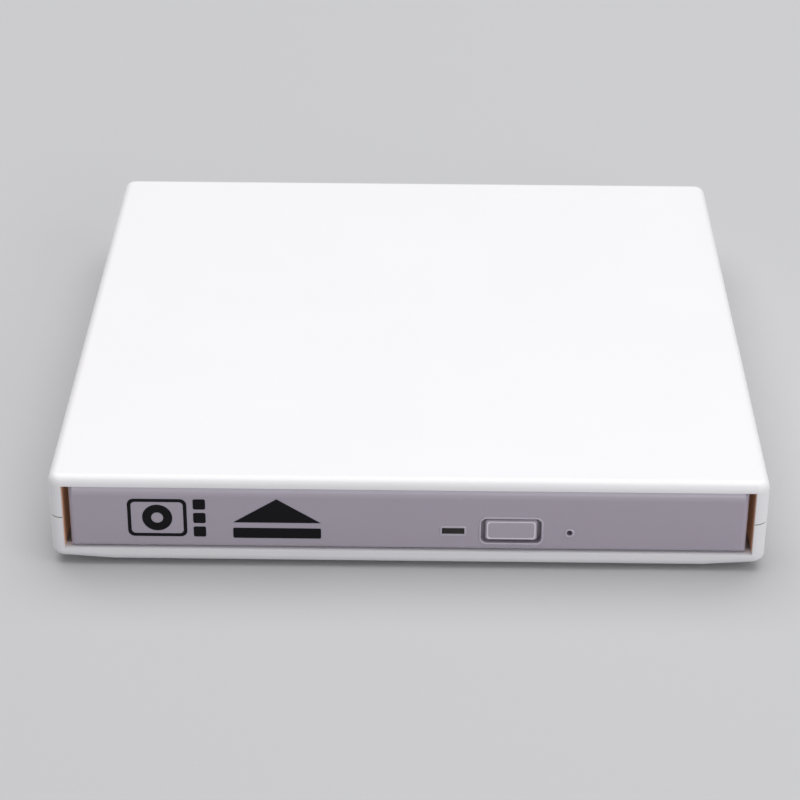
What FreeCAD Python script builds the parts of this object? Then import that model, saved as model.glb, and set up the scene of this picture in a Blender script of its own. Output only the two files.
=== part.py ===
import FreeCAD, Part
import math
import os
import Sketcher

doc = FreeCAD.newDocument("SlimDiscDrive")
sheet = doc.addObject("Spreadsheet::Sheet", "Sizes")
pieces = []
QUARTER = 90


class Term:
    """A size as a number, with the expression that ties it to the sheet."""

    def __init__(self, text, value):
        self.text = text
        self.value = value

    def __add__(self, other):
        return combine(self, "+", other)

    def __radd__(self, other):
        return combine(other, "+", self)

    def __sub__(self, other):
        return combine(self, "-", other)

    def __rsub__(self, other):
        return combine(other, "-", self)

    def __mul__(self, other):
        return combine(self, "*", other)

    def __rmul__(self, other):
        return combine(other, "*", self)

    def __truediv__(self, other):
        return combine(self, "/", other)

    def __neg__(self):
        return combine(0, "-", self)


def term(value):
    return value if isinstance(value, Term) else Term(str(value), float(value))


def number(value):
    return term(value).value


def combine(first, sign, second):
    a, b = term(first), term(second)
    results = {"+": a.value + b.value, "-": a.value - b.value, "*": a.value * b.value}
    result = a.value / b.value if sign == "/" else results[sign]
    return Term(f"({a.text} {sign} {b.text})", result)


def write_cell(alias, content, value):
    row = sheet_rows[0]
    sheet_rows[0] += 1
    sheet.set(f"A{row}", alias)
    sheet.set(f"B{row}", content)
    sheet.setAlias(f"B{row}", alias)
    return Term(f"Sizes.{alias}", value)


def size(alias, value):
    """A driving dimension, written once in the sheet."""
    return write_cell(alias, str(value), float(value))


def derived(alias, value):
    """A dimension worked out in the sheet from others."""
    return write_cell(alias, "=" + value.text.replace("Sizes.", ""), value.value)


sheet_rows = [1]


# Outlines, each a function that draws itself into a sketch


def place_point(sketch, edge, end, x, y):
    for kind, value in (("DistanceX", x), ("DistanceY", y)):
        index = sketch.addConstraint(Sketcher.Constraint(kind, -1, 1, edge, end, number(value)))
        if isinstance(value, Term):
            sketch.setExpression(f"Constraints[{index}]", value.text)


def set_radius(sketch, edge, radius):
    index = sketch.addConstraint(Sketcher.Constraint("Radius", edge, number(radius)))
    if isinstance(radius, Term):
        sketch.setExpression(f"Constraints[{index}]", radius.text)


def outline(points):
    """A closed chain of straight edges through the points."""

    def draw(sketch):
        first = sketch.GeometryCount
        count = len(points)
        corners = [FreeCAD.Vector(number(x), number(y), 0) for x, y in points]
        for i in range(count):
            sketch.addGeometry(Part.LineSegment(corners[i], corners[(i + 1) % count]), False)
        for i in range(count):
            following = first + (i + 1) % count
            sketch.addConstraint(Sketcher.Constraint("Coincident", first + i, 2, following, 1))
        for i, (x, y) in enumerate(points):
            place_point(sketch, first + i, 1, x, y)

    return draw


def rect(x0, x1, y0, y1):
    return outline([(x0, y0), (x1, y0), (x1, y1), (x0, y1)])


def disc(x, y, radius):
    def draw(sketch):
        edge = sketch.GeometryCount
        centre = FreeCAD.Vector(number(x), number(y), 0)
        sketch.addGeometry(Part.Circle(centre, FreeCAD.Vector(0, 0, 1), number(radius)), False)
        place_point(sketch, edge, 3, x, y)
        set_radius(sketch, edge, radius)

    return draw


def round_rect(x0, x1, y0, y1, radius):
    """A rectangle with four equal round corners."""

    def draw(sketch):
        first = sketch.GeometryCount
        left, right, low, high = number(x0), number(x1), number(y0), number(y1)
        r = number(radius)
        corners = [(right - r, low + r), (right - r, high - r), (left + r, high - r), (left + r, low + r)]
        for i, (cx, cy) in enumerate(corners):
            px, py = corners[i - 1]
            start = math.radians(QUARTER * (i - 1))
            offset = FreeCAD.Vector(r * math.cos(start), r * math.sin(start), 0)
            line = Part.LineSegment(FreeCAD.Vector(px, py, 0) + offset, FreeCAD.Vector(cx, cy, 0) + offset)
            circle = Part.Circle(FreeCAD.Vector(cx, cy, 0), FreeCAD.Vector(0, 0, 1), r)
            arc = Part.ArcOfCircle(circle, start, start + math.radians(QUARTER))
            sketch.addGeometry(line, False)
            sketch.addGeometry(arc, False)
        for i in range(0, 8, 2):
            arc = first + i + 1
            sketch.addConstraint(Sketcher.Constraint("Tangent", first + i, 2, arc, 1))
            sketch.addConstraint(Sketcher.Constraint("Tangent", arc, 2, first + (i + 2) % 8, 1))
        for i, way in ((0, "Horizontal"), (2, "Vertical"), (4, "Horizontal"), (6, "Vertical")):
            sketch.addConstraint(Sketcher.Constraint(way, first + i))
        for i in (3, 5, 7):
            sketch.addConstraint(Sketcher.Constraint("Equal", first + 1, first + i))
        set_radius(sketch, first + 1, radius)
        sides = ((6, "DistanceX", x0), (2, "DistanceX", x1), (0, "DistanceY", y0), (4, "DistanceY", y1))
        for i, kind, value in sides:
            index = sketch.addConstraint(Sketcher.Constraint(kind, -1, 1, first + i, 1, number(value)))
            if isinstance(value, Term):
                sketch.setExpression(f"Constraints[{index}]", value.text)

    return draw


# Pieces and their features


class Piece:
    """One sub-part: a body with its own label and place."""

    def __init__(self, label, x=0, y=0, z=0, turn=0):
        self.body = doc.addObject("PartDesign::Body", label)
        self.body.Label = label
        for axis, value in (("Base.x", x), ("Base.y", y), ("Base.z", z), ("Rotation.Angle", turn)):
            self.body.setExpression(f"Placement.{axis}", term(value).text)
        self.steps = 0
        pieces.append(self.body)

    def sketch(self, plane, level, loops):
        self.steps += 1
        drawing = self.body.newObject("Sketcher::SketchObject", f"{self.body.Name}_sketch{self.steps}")
        origin = next(f for f in self.body.Origin.OriginFeatures if f.Role == f"{plane}_Plane")
        drawing.AttachmentSupport = [(origin, "")]
        drawing.MapMode = "FlatFace"
        drawing.setExpression("AttachmentOffset.Base.z", term(level).text)
        for draw in loops:
            draw(drawing)
        return drawing

    def feature(self, kind, drawing):
        made = self.body.newObject(f"PartDesign::{kind}", f"{self.body.Name}_{kind}{self.steps}")
        made.Profile = drawing
        return made

    def add(self, plane, low, high, *loops):
        """A pad of the loops that fills the space from low to high along the plane's axis."""
        level = -high if plane == "XZ" else low
        pad = self.feature("Pad", self.sketch(plane, level, loops))
        pad.setExpression("Length", term(high - low).text)
        return self

    def cut(self, plane, low, high, *loops):
        """A pocket of the loops that clears the space from low to high along the plane's axis."""
        level = -low if plane == "XZ" else high
        pocket = self.feature("Pocket", self.sketch(plane, level, loops))
        pocket.setExpression("Length", term(high - low).text)
        return self

    def dress(self, kind, amount, choose):
        """A fillet or chamfer on the edges that the test picks."""
        doc.recompute()
        tip = self.body.Tip
        names = [f"Edge{i}" for i, edge in enumerate(tip.Shape.Edges, 1) if choose(edge)]
        self.steps += 1
        made = self.body.newObject(f"PartDesign::{kind}", f"{self.body.Name}_{kind}{self.steps}")
        made.Base = (tip, names)
        made.setExpression("Radius" if kind == "Fillet" else "Size", term(amount).text)
        return self

    def fillet(self, radius, choose):
        return self.dress("Fillet", radius, choose)

    def chamfer(self, amount, choose):
        return self.dress("Chamfer", amount, choose)


NEAR = 0.01


def at_height(level):
    """Picks edges that lie flat at one height."""

    def choose(edge):
        box = edge.BoundBox
        return abs(box.ZMin - number(level)) < NEAR and abs(box.ZMax - number(level)) < NEAR

    return choose


def at_depth(level):
    """Picks edges that lie in one upright plane across the width."""

    def choose(edge):
        box = edge.BoundBox
        return abs(box.YMin - number(level)) < NEAR and abs(box.YMax - number(level)) < NEAR

    return choose


def outer_at_height(level, limit):
    """Picks flat edges at one height that belong to an outline reaching the limit in X or Y."""

    def choose(edge):
        box = edge.BoundBox
        reach = max(abs(box.XMin), abs(box.XMax), abs(box.YMin), abs(box.YMax))
        return at_height(level)(edge) and reach > number(limit)

    return choose


# Driving dimensions of the case, in millimetres

case_width = size("case_width", 137.8)
case_depth = size("case_depth", 138)
case_height = size("case_height", 18.6)
foot_height = size("foot_height", 1.0)
foot_radius = size("foot_radius", 4)
foot_inset = size("foot_inset", 16.4)
case_corner = size("case_corner", 2.5)
top_round = size("top_round", 1.8)
bottom_round = size("bottom_round", 1.6)
belly_half = size("belly_half", 57)
belly_rise = size("belly_rise", 0.85)
seam_height = size("seam_height", 9.66)
side_wall = size("side_wall", 2.65)
top_wall = size("top_wall", 1.9)
floor_wall = size("floor_wall", 2)
rear_wall = size("rear_wall", 2.2)
lip_height = size("lip_height", 2.9)
lip_depth = size("lip_depth", 2.4)
seam_gap = size("seam_gap", 0.1)
seam_bevel = size("seam_bevel", 0.22)
screw_shank = size("screw_shank", 0.95)
screw_head = size("screw_head", 1.9)
screw_head_height = size("screw_head_height", 1.1)
screw_clearance = size("screw_clearance", 0.05)
boss_radius = size("boss_radius", 2.6)
boss_set_in = size("boss_set_in", 0.95)

# Driving dimensions of the drive

drive_width = size("drive_width", 128)
drive_depth = size("drive_depth", 126)
drive_height = size("drive_height", 12.7)
drive_lift = size("drive_lift", 3.4)
sheet_metal = size("sheet_metal", 0.6)
bezel_width = size("bezel_width", 130)
bezel_height = size("bezel_height", 13.2)
bezel_thickness = size("bezel_thickness", 2.2)
bezel_recess = size("bezel_recess", 0.3)
bezel_drop = size("bezel_drop", 0.2)
bezel_gap = size("bezel_gap", 0.5)
base_wall_height = size("base_wall_height", 7.2)
notch_width = size("notch_width", 32)
notch_depth = size("notch_depth", 10)
disc_recess_radius = size("disc_recess_radius", 60.6)
spindle_setback = size("spindle_setback", 4.4)
fit_gap = size("fit_gap", 0.2)
slide_gap = size("slide_gap", 0.3)
tray_level = size("tray_level", 7.6)
tray_thickness = size("tray_thickness", 2.4)
recess_depth = size("recess_depth", 1.4)
tray_side_gap = size("tray_side_gap", 1.0)
skirt_level = size("skirt_level", 3.1)
skirt_wall = size("skirt_wall", 1)
tray_length = size("tray_length", 120)

# Places that follow from them

half_width = derived("half_width", case_width / 2)
half_depth = derived("half_depth", case_depth / 2)
inner_half = derived("inner_half", half_width - side_wall)
ceiling = derived("ceiling", case_height - top_wall)
rear_inside = derived("rear_inside", half_depth - rear_wall)
foot_x = derived("foot_x", half_width - foot_inset)
foot_y = derived("foot_y", half_depth - foot_inset)
drive_level = derived("drive_level", foot_height + drive_lift)
bezel_front = derived("bezel_front", bezel_recess - half_depth)
bezel_back = derived("bezel_back", bezel_front + bezel_thickness)
drive_front = derived("drive_front", bezel_back + bezel_gap)
drive_rear = derived("drive_rear", drive_front + drive_depth)
drive_half = derived("drive_half", drive_width / 2)
drive_inside = derived("drive_inside", drive_half - sheet_metal)
spindle_y = derived("spindle_y", 0 - spindle_setback)
notch_x = derived("notch_x", drive_half - notch_width)
notch_y = derived("notch_y", drive_rear - notch_depth)
cover_level = derived("cover_level", drive_height - sheet_metal)
tray_half = derived("tray_half", drive_inside - tray_side_gap)
tray_front = derived("tray_front", bezel_back)
tray_rear = derived("tray_rear", tray_front + tray_length)
tray_top = derived("tray_top", tray_level + tray_thickness)
recess_floor = derived("recess_floor", tray_top - recess_depth)
rear_boss_x = derived("rear_boss_x", drive_half - boss_set_in)
rear_boss_y = derived("rear_boss_y", rear_inside - boss_radius - 0.4)

SIDES = (-1, 1)
corners = [(sx * foot_x, sy * foot_y) for sx in SIDES for sy in SIDES]

# The board at the back and its two sockets

board_thickness = size("board_thickness", 1.2)
board_level = size("board_level", 4.2)
board_side_gap = size("board_side_gap", 1.2)
usb_x = size("usb_x", 38)
usb_width = size("usb_width", 7.7)
usb_height = size("usb_height", 3.95)
usb_length = size("usb_length", 9.2)
usb_wall = size("usb_wall", 0.35)
jack_x = size("jack_x", 55.5)
jack_width = size("jack_width", 7.6)
jack_height = size("jack_height", 6)
jack_length = size("jack_length", 9.4)
jack_bore = size("jack_bore", 1.75)
jack_pin = size("jack_pin", 0.65)
jack_bore_depth = size("jack_bore_depth", 7)
socket_set_in = size("socket_set_in", 0.6)

board_top = derived("board_top", board_level + board_thickness)
board_left = derived("board_left", notch_x + board_side_gap)
board_right = derived("board_right", drive_half - board_side_gap)
board_front = derived("board_front", notch_y + 1.2)
board_rear = derived("board_rear", rear_inside - 0.4)
socket_face = derived("socket_face", half_depth - socket_set_in)
jack_axis = derived("jack_axis", board_top + jack_height / 2)


# Screws, ribs and the tongue that locates the two halves

drive_screw_x = size("drive_screw_x", 50)
drive_screw_y = size("drive_screw_y", -30)
drive_screw_rise = size("drive_screw_rise", 1.6)
rear_screw_rise = size("rear_screw_rise", 5)
rear_seat = size("rear_seat", 1.9)
standoff_radius = size("standoff_radius", 3.2)
rib_wall = size("rib_wall", 1.2)
rib_x = size("rib_x", 48)
rib_end_gap = size("rib_end_gap", 8)
tongue_wall = size("tongue_wall", 1)
tongue_height = size("tongue_height", 1.2)
jack_hole = size("jack_hole", 3.2)

counterbore = derived("counterbore", screw_head_height + fit_gap)
screw_top = derived("screw_top", seam_height + rear_screw_rise)
screw_hole = derived("screw_hole", screw_shank + screw_clearance)
head_hole = derived("head_hole", screw_head + fit_gap)
rib_height = derived("rib_height", ceiling - drive_lift - drive_height)
rear_places = [(sx * rear_boss_x, rear_boss_y) for sx in SIDES]
drive_places = [(sx * drive_screw_x, drive_screw_y) for sx in SIDES]
rest_places = [(sx * drive_screw_x, 0 - drive_screw_y) for sx in SIDES]


def discs(places, radius):
    return [disc(x, y, radius) for x, y in places]


def socket_openings(piece):
    """The slot for the small socket and the round hole for the power plug, through the back wall."""
    low = board_top - fit_gap
    half = usb_width / 2 + fit_gap
    back = half_depth + 1
    piece.cut("XZ", rear_inside, back,
              rect(usb_x - half, usb_x + half, low, board_top + usb_height + fit_gap))
    piece.cut("XZ", rear_inside, back, disc(jack_x, jack_axis, jack_hole))


def top_shell():
    piece = Piece("top_shell", z=foot_height)
    piece.add("XY", seam_height, case_height,
              round_rect(-half_width, half_width, -half_depth, half_depth, case_corner))
    piece.fillet(top_round, at_height(case_height))
    piece.chamfer(seam_bevel, at_height(seam_height))
    piece.cut("XY", seam_height, ceiling, rect(-inner_half, inner_half, 2 * -half_depth, rear_inside))
    room = tongue_wall + seam_gap
    piece.cut("XY", seam_height, seam_height + tongue_height + seam_gap,
              rect(-inner_half - room, inner_half + room,
                   lip_depth - seam_gap - half_depth, rear_inside + room))
    piece.add("XY", seam_height, ceiling, *discs(rear_places, boss_radius))
    piece.cut("XY", seam_height, screw_top + fit_gap, *discs(rear_places, screw_shank))
    for sx in SIDES:
        piece.add("XY", ceiling - rib_height, ceiling,
                  rect(sx * rib_x - rib_wall / 2, sx * rib_x + rib_wall / 2,
                       rib_end_gap - half_depth, drive_rear - rib_end_gap))
    piece.cut("XZ", rear_inside, half_depth + 1, disc(jack_x, jack_axis, jack_hole))


def bottom_rim(edge):
    """Picks the outer edges of the underside, which is flat in the middle and rises to both sides."""
    box = edge.BoundBox
    crease = box.XLength < NEAR and abs(abs(box.XMin) - number(belly_half)) < NEAR
    return box.ZMax < number(belly_rise) + NEAR and not crease


def bottom_shell():
    piece = Piece("bottom_shell", z=foot_height)
    piece.add("XY", 0, seam_height,
              round_rect(-half_width, half_width, -half_depth, half_depth, case_corner))
    for side in SIDES:
        piece.cut("XZ", -half_depth, half_depth,
                  outline([(side * belly_half, 0), (side * half_width, 0),
                           (side * half_width, belly_rise)]))
    piece.fillet(bottom_round, bottom_rim)
    piece.chamfer(seam_bevel, at_height(seam_height))
    piece.cut("XY", floor_wall, seam_height,
              rect(-inner_half, inner_half, lip_depth - half_depth, rear_inside))
    piece.cut("XY", lip_height, seam_height,
              rect(-inner_half, inner_half, 2 * -half_depth, 2 * lip_depth - half_depth))
    reach = inner_half + tongue_wall
    tongue_front = lip_depth - half_depth
    for sx in SIDES:
        inner, outer = (inner_half, reach) if sx > 0 else (-reach, -inner_half)
        piece.add("XY", seam_height, seam_height + tongue_height,
                  rect(inner, outer, tongue_front, rear_inside + tongue_wall))
    piece.add("XY", seam_height, seam_height + tongue_height,
              rect(-inner_half, inner_half, rear_inside, rear_inside + tongue_wall))
    piece.add("XY", floor_wall, seam_height, *discs(rear_places, boss_radius))
    piece.add("XY", floor_wall, drive_lift, *discs(drive_places + rest_places, standoff_radius))
    piece.add("XY", floor_wall, board_level, *discs(board_posts, post_radius))
    piece.cut("XY", 0, seam_height, *discs(rear_places, screw_hole))
    piece.cut("XY", 0, drive_lift, *discs(drive_places, screw_hole))
    piece.cut("XY", 0, rear_seat, *discs(rear_places, head_hole))
    piece.cut("XY", 0, counterbore, *discs(drive_places, head_hole))
    socket_openings(piece)


def feet():
    piece = Piece("feet")
    piece.add("XY", 0, foot_height, *discs(corners, foot_radius))
    piece.fillet(foot_height / 4, at_height(0))


def screws(label, places, seat, top):
    """Pan-head screws that point up, each with a cross recess in its head."""
    piece = Piece(label, z=foot_height)
    head_low = seat - screw_head_height
    piece.add("XY", head_low, seat, *discs(places, screw_head))
    piece.add("XY", seat, top, *discs(places, screw_shank))
    reach = screw_head * 0.6
    width = screw_head * 0.12
    for x, y in places:
        piece.cut("XY", head_low, head_low + screw_head_height / 2,
                  rect(x - reach, x + reach, y - width, y + width))
        piece.cut("XY", head_low, head_low + screw_head_height / 2,
                  rect(x - width, x + width, y - reach, y + reach))


# The board at the back


post_radius = size("post_radius", 1.5)
post_inset = size("post_inset", 2.2)
board_posts = [(board_left + post_inset, board_front + post_inset),
               (board_right - post_inset - 4, board_front + post_inset)]


def bridge_board():
    piece = Piece("bridge_board", z=foot_height)
    piece.add("XY", board_level, board_top, rect(board_left, board_right, board_front, board_rear))
    piece.cut("XY", board_level, board_top, *discs(rear_places[1:], boss_radius + slide_gap))


chip_half = size("chip_half", 3.2)
chip_lead = size("chip_lead", 0.8)
chip_rise = size("chip_rise", 1.2)
chip_pins = 7
connector_depth = size("connector_depth", 2.8)
connector_height = size("connector_height", 2.8)
connector_width = size("connector_width", 24)
connector_reach = size("connector_reach", 0.6)
chip_x = derived("chip_x", (usb_x + usb_width / 2 + jack_x - jack_width / 2) / 2)
chip_y = derived("chip_y", board_front + connector_depth + chip_half + chip_lead + 0.8)
connector_left = derived("connector_left", board_left + 2)
connector_right = derived("connector_right", connector_left + connector_width)
connector_face = derived("connector_face", board_front - connector_reach)


def chip_package(piece, x, y, half, floor, rise):
    """A flat square package with a row of leads on two sides."""
    piece.add("XY", floor + 0.15, floor + rise, rect(x - half, x + half, y - half, y + half))
    pitch = half * 2 / (chip_pins + 1)
    for i in range(chip_pins):
        along = y - half + pitch * (i + 1)
        piece.add("XY", floor, floor + 0.3,
                  rect(x - half - chip_lead, x - half + 0.3, along - pitch / 4, along + pitch / 4),
                  rect(x + half - 0.3, x + half + chip_lead, along - pitch / 4, along + pitch / 4))


def bridge_chip():
    piece = Piece("bridge_chip", z=foot_height)
    chip_package(piece, chip_x, chip_y, chip_half, board_top, chip_rise)


def bridge_components():
    """Small parts on the board: a crystal can, a capacitor and a row of chip parts."""
    piece = Piece("bridge_components", z=foot_height)
    front = board_front + connector_depth + 0.5
    piece.add("XY", board_top, board_top + 2.4,
              round_rect(usb_x - 4, usb_x + 4, front, front + 3.2, 1.4))
    piece.add("XY", board_top, board_top + 2.8, disc(jack_x + 1, front + 1.3, 1.2))
    for i in range(4):
        left = chip_x - chip_half + i * 1.7
        piece.add("XY", board_top, board_top + 0.6, rect(left, left + 0.8, board_rear - 2, board_rear - 0.6))


def connectors():
    """The header on the board and the header of the drive, face to face."""
    top = board_top + connector_height
    header = Piece("bridge_connector", z=foot_height)
    header.add("XZ", connector_face, board_front + connector_depth,
               rect(connector_left, connector_right, board_top, top))
    drive_side = Piece("drive_connector", z=foot_height)
    back = skirt_rear + slide_gap
    drive_side.add("XZ", back, connector_face, rect(connector_left, connector_right, board_top, top))
    drive_side.cut("XZ", back, back + (notch_y - back) / 2,
                   rect(connector_left + 1, connector_right - 1, board_top + 0.8, top - 0.8))


def usb_socket():
    """A small five-pin socket: a folded steel shell round a plastic tongue."""
    half = usb_width / 2
    back = socket_face - usb_length
    top = board_top + usb_height
    shell = Piece("usb_socket_shell", z=foot_height)

    def section(inset):
        slope = usb_width * 0.12
        middle = board_top + usb_height * 0.45
        return outline([(usb_x - half + inset + slope, board_top + inset),
                        (usb_x + half - inset - slope, board_top + inset),
                        (usb_x + half - inset, middle),
                        (usb_x + half - inset, top - inset),
                        (usb_x - half + inset, top - inset),
                        (usb_x - half + inset, middle)])

    shell.add("XZ", back, socket_face, section(0))
    shell.cut("XZ", back + usb_wall, socket_face, section(usb_wall))
    tongue = Piece("usb_socket_tongue", z=foot_height)
    low = board_top + usb_height * 0.42
    tongue.add("XZ", back + usb_wall, back + usb_length * 0.8,
               rect(usb_x - half * 0.62, usb_x + half * 0.62, low, low + usb_height * 0.2))
    tongue.add("XZ", back + usb_wall, back + usb_length * 0.3,
               rect(usb_x - half + 2 * usb_wall, usb_x + half - 2 * usb_wall, low, top - usb_wall - 0.1))


def dc_socket():
    half = jack_width / 2
    face = rear_inside - fit_gap
    piece = Piece("dc_socket", z=foot_height)
    piece.add("XZ", face - jack_length, face, rect(jack_x - half, jack_x + half, board_top,
                                                    board_top + jack_height))
    piece.chamfer(0.6, lambda edge: abs(edge.BoundBox.ZMin - number(board_top + jack_height)) < NEAR
                  and edge.BoundBox.YLength > number(jack_length) - NEAR)
    piece.cut("XZ", face - jack_bore_depth, face, disc(jack_x, jack_axis, jack_bore))
    pin = Piece("dc_socket_pin", z=foot_height)
    pin.add("XZ", face - jack_bore_depth, face - 1, disc(jack_x, jack_axis, jack_pin))
    pin.fillet(jack_pin / 2, at_depth(face - 1))


# The fixed part of the drive. Its pieces are placed at the drive's own floor.

guide_low = size("guide_low", 0.9)
guide_sheet = size("guide_sheet", 0.6)
guide_height = size("guide_height", 6.3)
guide_flange = size("guide_flange", 3.2)
rail_sheet = size("rail_sheet", 0.6)
rail_flange = size("rail_flange", 2.8)
rail_front_gap = size("rail_front_gap", 2)
rail_length = size("rail_length", 112)
rib_flange = size("rib_flange", 4)
board_rise = size("board_rise", 0.4)
main_board_thickness = size("main_board_thickness", 0.8)
main_board_depth = size("main_board_depth", 46)
latch_post_x = size("latch_post_x", 37)
latch_post_y = size("latch_post_y", -42)
latch_post_radius = size("latch_post_radius", 1.3)
latch_post_top = size("latch_post_top", 5.6)
latch_post_foot = size("latch_post_foot", 0.5)

guide_outer = derived("guide_outer", drive_inside)
guide_web = derived("guide_web", guide_outer - guide_sheet)
guide_top = derived("guide_top", guide_low + guide_height)
rail_outer = derived("rail_outer", guide_web - fit_gap)
rail_web = derived("rail_web", rail_outer - rail_sheet)
rail_low = derived("rail_low", guide_low + guide_sheet + fit_gap)
rail_top = derived("rail_top", guide_top - guide_sheet - fit_gap)
rib_outer = derived("rib_outer", rail_web - fit_gap)
rib_inner = derived("rib_inner", rib_outer - rib_flange)
rib_low = derived("rib_low", rail_low + rail_sheet + fit_gap)
rib_top = derived("rib_top", rail_top - rail_sheet - fit_gap)
main_board_level = derived("main_board_level", sheet_metal + board_rise)
main_board_top = derived("main_board_top", main_board_level + main_board_thickness)
main_board_front = derived("main_board_front", drive_rear - main_board_depth)


def strip(side, near, far, low, high):
    """A rectangle between two distances from the middle, on the left or the right."""
    return rect(near, far, low, high) if side > 0 else rect(-far, -near, low, high)


def drive_base():
    piece = Piece("drive_base", z=drive_level)
    footprint = outline([(-drive_half, drive_front), (drive_half, drive_front), (drive_half, notch_y),
                         (notch_x, notch_y), (notch_x, drive_rear), (-drive_half, drive_rear)])
    piece.add("XY", 0, base_wall_height, footprint)
    inner = outline([(-drive_inside, 2 * drive_front), (drive_inside, 2 * drive_front),
                     (drive_inside, notch_y - sheet_metal), (notch_x - sheet_metal, notch_y - sheet_metal),
                     (notch_x - sheet_metal, drive_rear - sheet_metal),
                     (-drive_inside, drive_rear - sheet_metal)])
    piece.cut("XY", sheet_metal, base_wall_height, inner)
    nut = drive_screw_rise
    piece.add("XY", sheet_metal, nut, *discs(drive_places, screw_shank * 2))
    piece.cut("XY", 0, nut, *discs(drive_places, screw_hole))
    piece.cut("XZ", notch_y - 2 * sheet_metal, notch_y + 1,
              rect(connector_left - fit_gap, connector_right + fit_gap,
                   board_top - drive_lift - fit_gap, board_top - drive_lift + connector_height + fit_gap))
    for sy in SIDES:
        y = sy * base_rib_y
        piece.add("XY", sheet_metal, sheet_metal + base_rib_rise,
                  round_rect(-base_rib_reach, base_rib_reach, y - base_rib_half, y + base_rib_half,
                             base_rib_half * 0.96))
    piece.add("XY", sheet_metal, main_board_level, *discs(board_seats, cover_post_radius))
    piece.add("XY", sheet_metal, cover_level, *discs(cover_places, cover_post_radius))
    piece.cut("XY", cover_level - cover_screw_length, cover_level, *discs(cover_places, cover_screw_shank))


base_rib_y = size("base_rib_y", 12)
base_rib_reach = size("base_rib_reach", 40)
base_rib_rise = size("base_rib_rise", 0.3)
base_rib_half = size("base_rib_half", 3)
cover_head_height = size("cover_head_height", 0.4)
cover_post_radius = size("cover_post_radius", 1.6)
cover_screw_shank = size("cover_screw_shank", 0.8)
cover_screw_head = size("cover_screw_head", 1.6)
cover_screw_length = size("cover_screw_length", 2)
cover_post_y = derived("cover_post_y", drive_rear - sheet_metal - cover_post_radius - fit_gap)
cover_places = [(cover_post_radius + fit_gap - drive_inside, cover_post_y),
                (notch_x - sheet_metal - cover_post_radius - fit_gap, cover_post_y)]


def drive_cover():
    piece = Piece("drive_cover", z=drive_level)
    footprint = outline([(-drive_half, drive_front), (drive_half, drive_front), (drive_half, notch_y),
                         (notch_x, notch_y), (notch_x, drive_rear), (-drive_half, drive_rear)])
    low = base_wall_height + fit_gap
    piece.add("XY", low, drive_height, footprint)
    inner = outline([(-drive_inside, 2 * drive_front), (drive_inside, 2 * drive_front),
                     (drive_inside, notch_y - sheet_metal), (notch_x - sheet_metal, notch_y - sheet_metal),
                     (notch_x - sheet_metal, drive_rear - sheet_metal),
                     (-drive_inside, drive_rear - sheet_metal)])
    piece.cut("XY", low, cover_level, inner)
    piece.cut("XY", cover_level, drive_height, *discs(cover_places, cover_screw_shank + screw_clearance))


def cover_screws():
    """Flat screws through the cover's back edge into the base's posts."""
    piece = Piece("cover_screws", z=drive_level)
    piece.add("XY", drive_height, drive_height + cover_head_height, *discs(cover_places, cover_screw_head))
    piece.add("XY", cover_level - cover_screw_length, drive_height, *discs(cover_places, cover_screw_shank))


def guides():
    """The fixed channels, open towards the middle, one on each side wall of the base."""
    for name, side in (("left_guide", -1), ("right_guide", 1)):
        piece = Piece(name, z=drive_level)
        rear = notch_y - slide_gap - sheet_metal
        web, outer, flange = guide_web, guide_outer, guide_outer - guide_flange
        piece.add("XY", guide_low, guide_top, strip(side, flange, outer, drive_front, rear))
        piece.cut("XY", guide_low + guide_sheet, guide_top - guide_sheet,
                  strip(side, 0, web, 2 * drive_front, 2 * rear))


def rails():
    """The steel rails that slide in the guides and carry the tray's ribs."""
    for name, side in (("left_rail", -1), ("right_rail", 1)):
        piece = Piece(name, z=drive_level)
        front = drive_front + rail_front_gap
        rear = front + rail_length
        piece.add("XY", rail_low, rail_top, strip(side, rail_outer - rail_flange, rail_outer, front, rear))
        piece.cut("XY", rail_low + rail_sheet, rail_top - rail_sheet,
                  strip(side, 0, rail_web, 2 * drive_front, 2 * rear))


def main_board():
    piece = Piece("main_board", z=drive_level)
    rear = drive_rear - sheet_metal - fit_gap
    piece.add("XY", main_board_level, main_board_top,
              outline([(board_edge, main_board_front), (-board_edge, main_board_front),
                       (-board_edge, notch_y - board_margin), (board_corner, notch_y - board_margin),
                       (board_corner, rear - corner_cut), (board_corner - corner_cut, rear),
                       (board_edge, rear)]))
    piece.cut("XY", main_board_level, main_board_top,
              *discs(cover_places[1:], cover_post_radius + fit_gap))


board_margin = size("board_margin", 1.2)
corner_cut = size("corner_cut", 3.4)
board_corner = derived("board_corner", notch_x - board_margin)


board_edge = derived("board_edge", guide_flange + 1 - guide_outer)
board_seats = [(board_edge + 4, drive_rear - 12), (notch_x - 8, drive_rear - 12),
               (board_edge + 4, main_board_front + 4), (-board_edge - 4, main_board_front + 4)]


def main_chips():
    """The packages on the main board and the plug-in socket for the flat cable."""
    piece = Piece("main_chips", z=drive_level)
    top = main_board_top
    for x, y, half in ((-22, 40, 6), (-44, 42, 4), (2, 44, 3.4)):
        chip_package(piece, term(x), term(y), term(half), top, term(0.7))
    piece.add("XY", top, top + 0.7, rect(cable_left - 1, cable_right + 1, main_board_front,
                                         main_board_front + 4))


cable_width = size("cable_width", 22)
cable_left = size("cable_left", -34)
cable_sheet = size("cable_sheet", 0.15)
cable_rise = size("cable_rise", 0.4)
cable_fold_y = size("cable_fold_y", -60)
cable_tray_end = size("cable_tray_end", 8)
cable_right = derived("cable_right", cable_left + cable_width)
cable_floor = derived("cable_floor", sheet_metal + cable_rise)


def latch_post():
    piece = Piece("latch_post", z=drive_level)
    piece.add("XY", sheet_metal, latch_post_top, disc(latch_post_x, latch_post_y, latch_post_radius))
    piece.add("XY", sheet_metal, sheet_metal + latch_post_foot,
              disc(latch_post_x, latch_post_y, latch_post_radius * 2))


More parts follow.
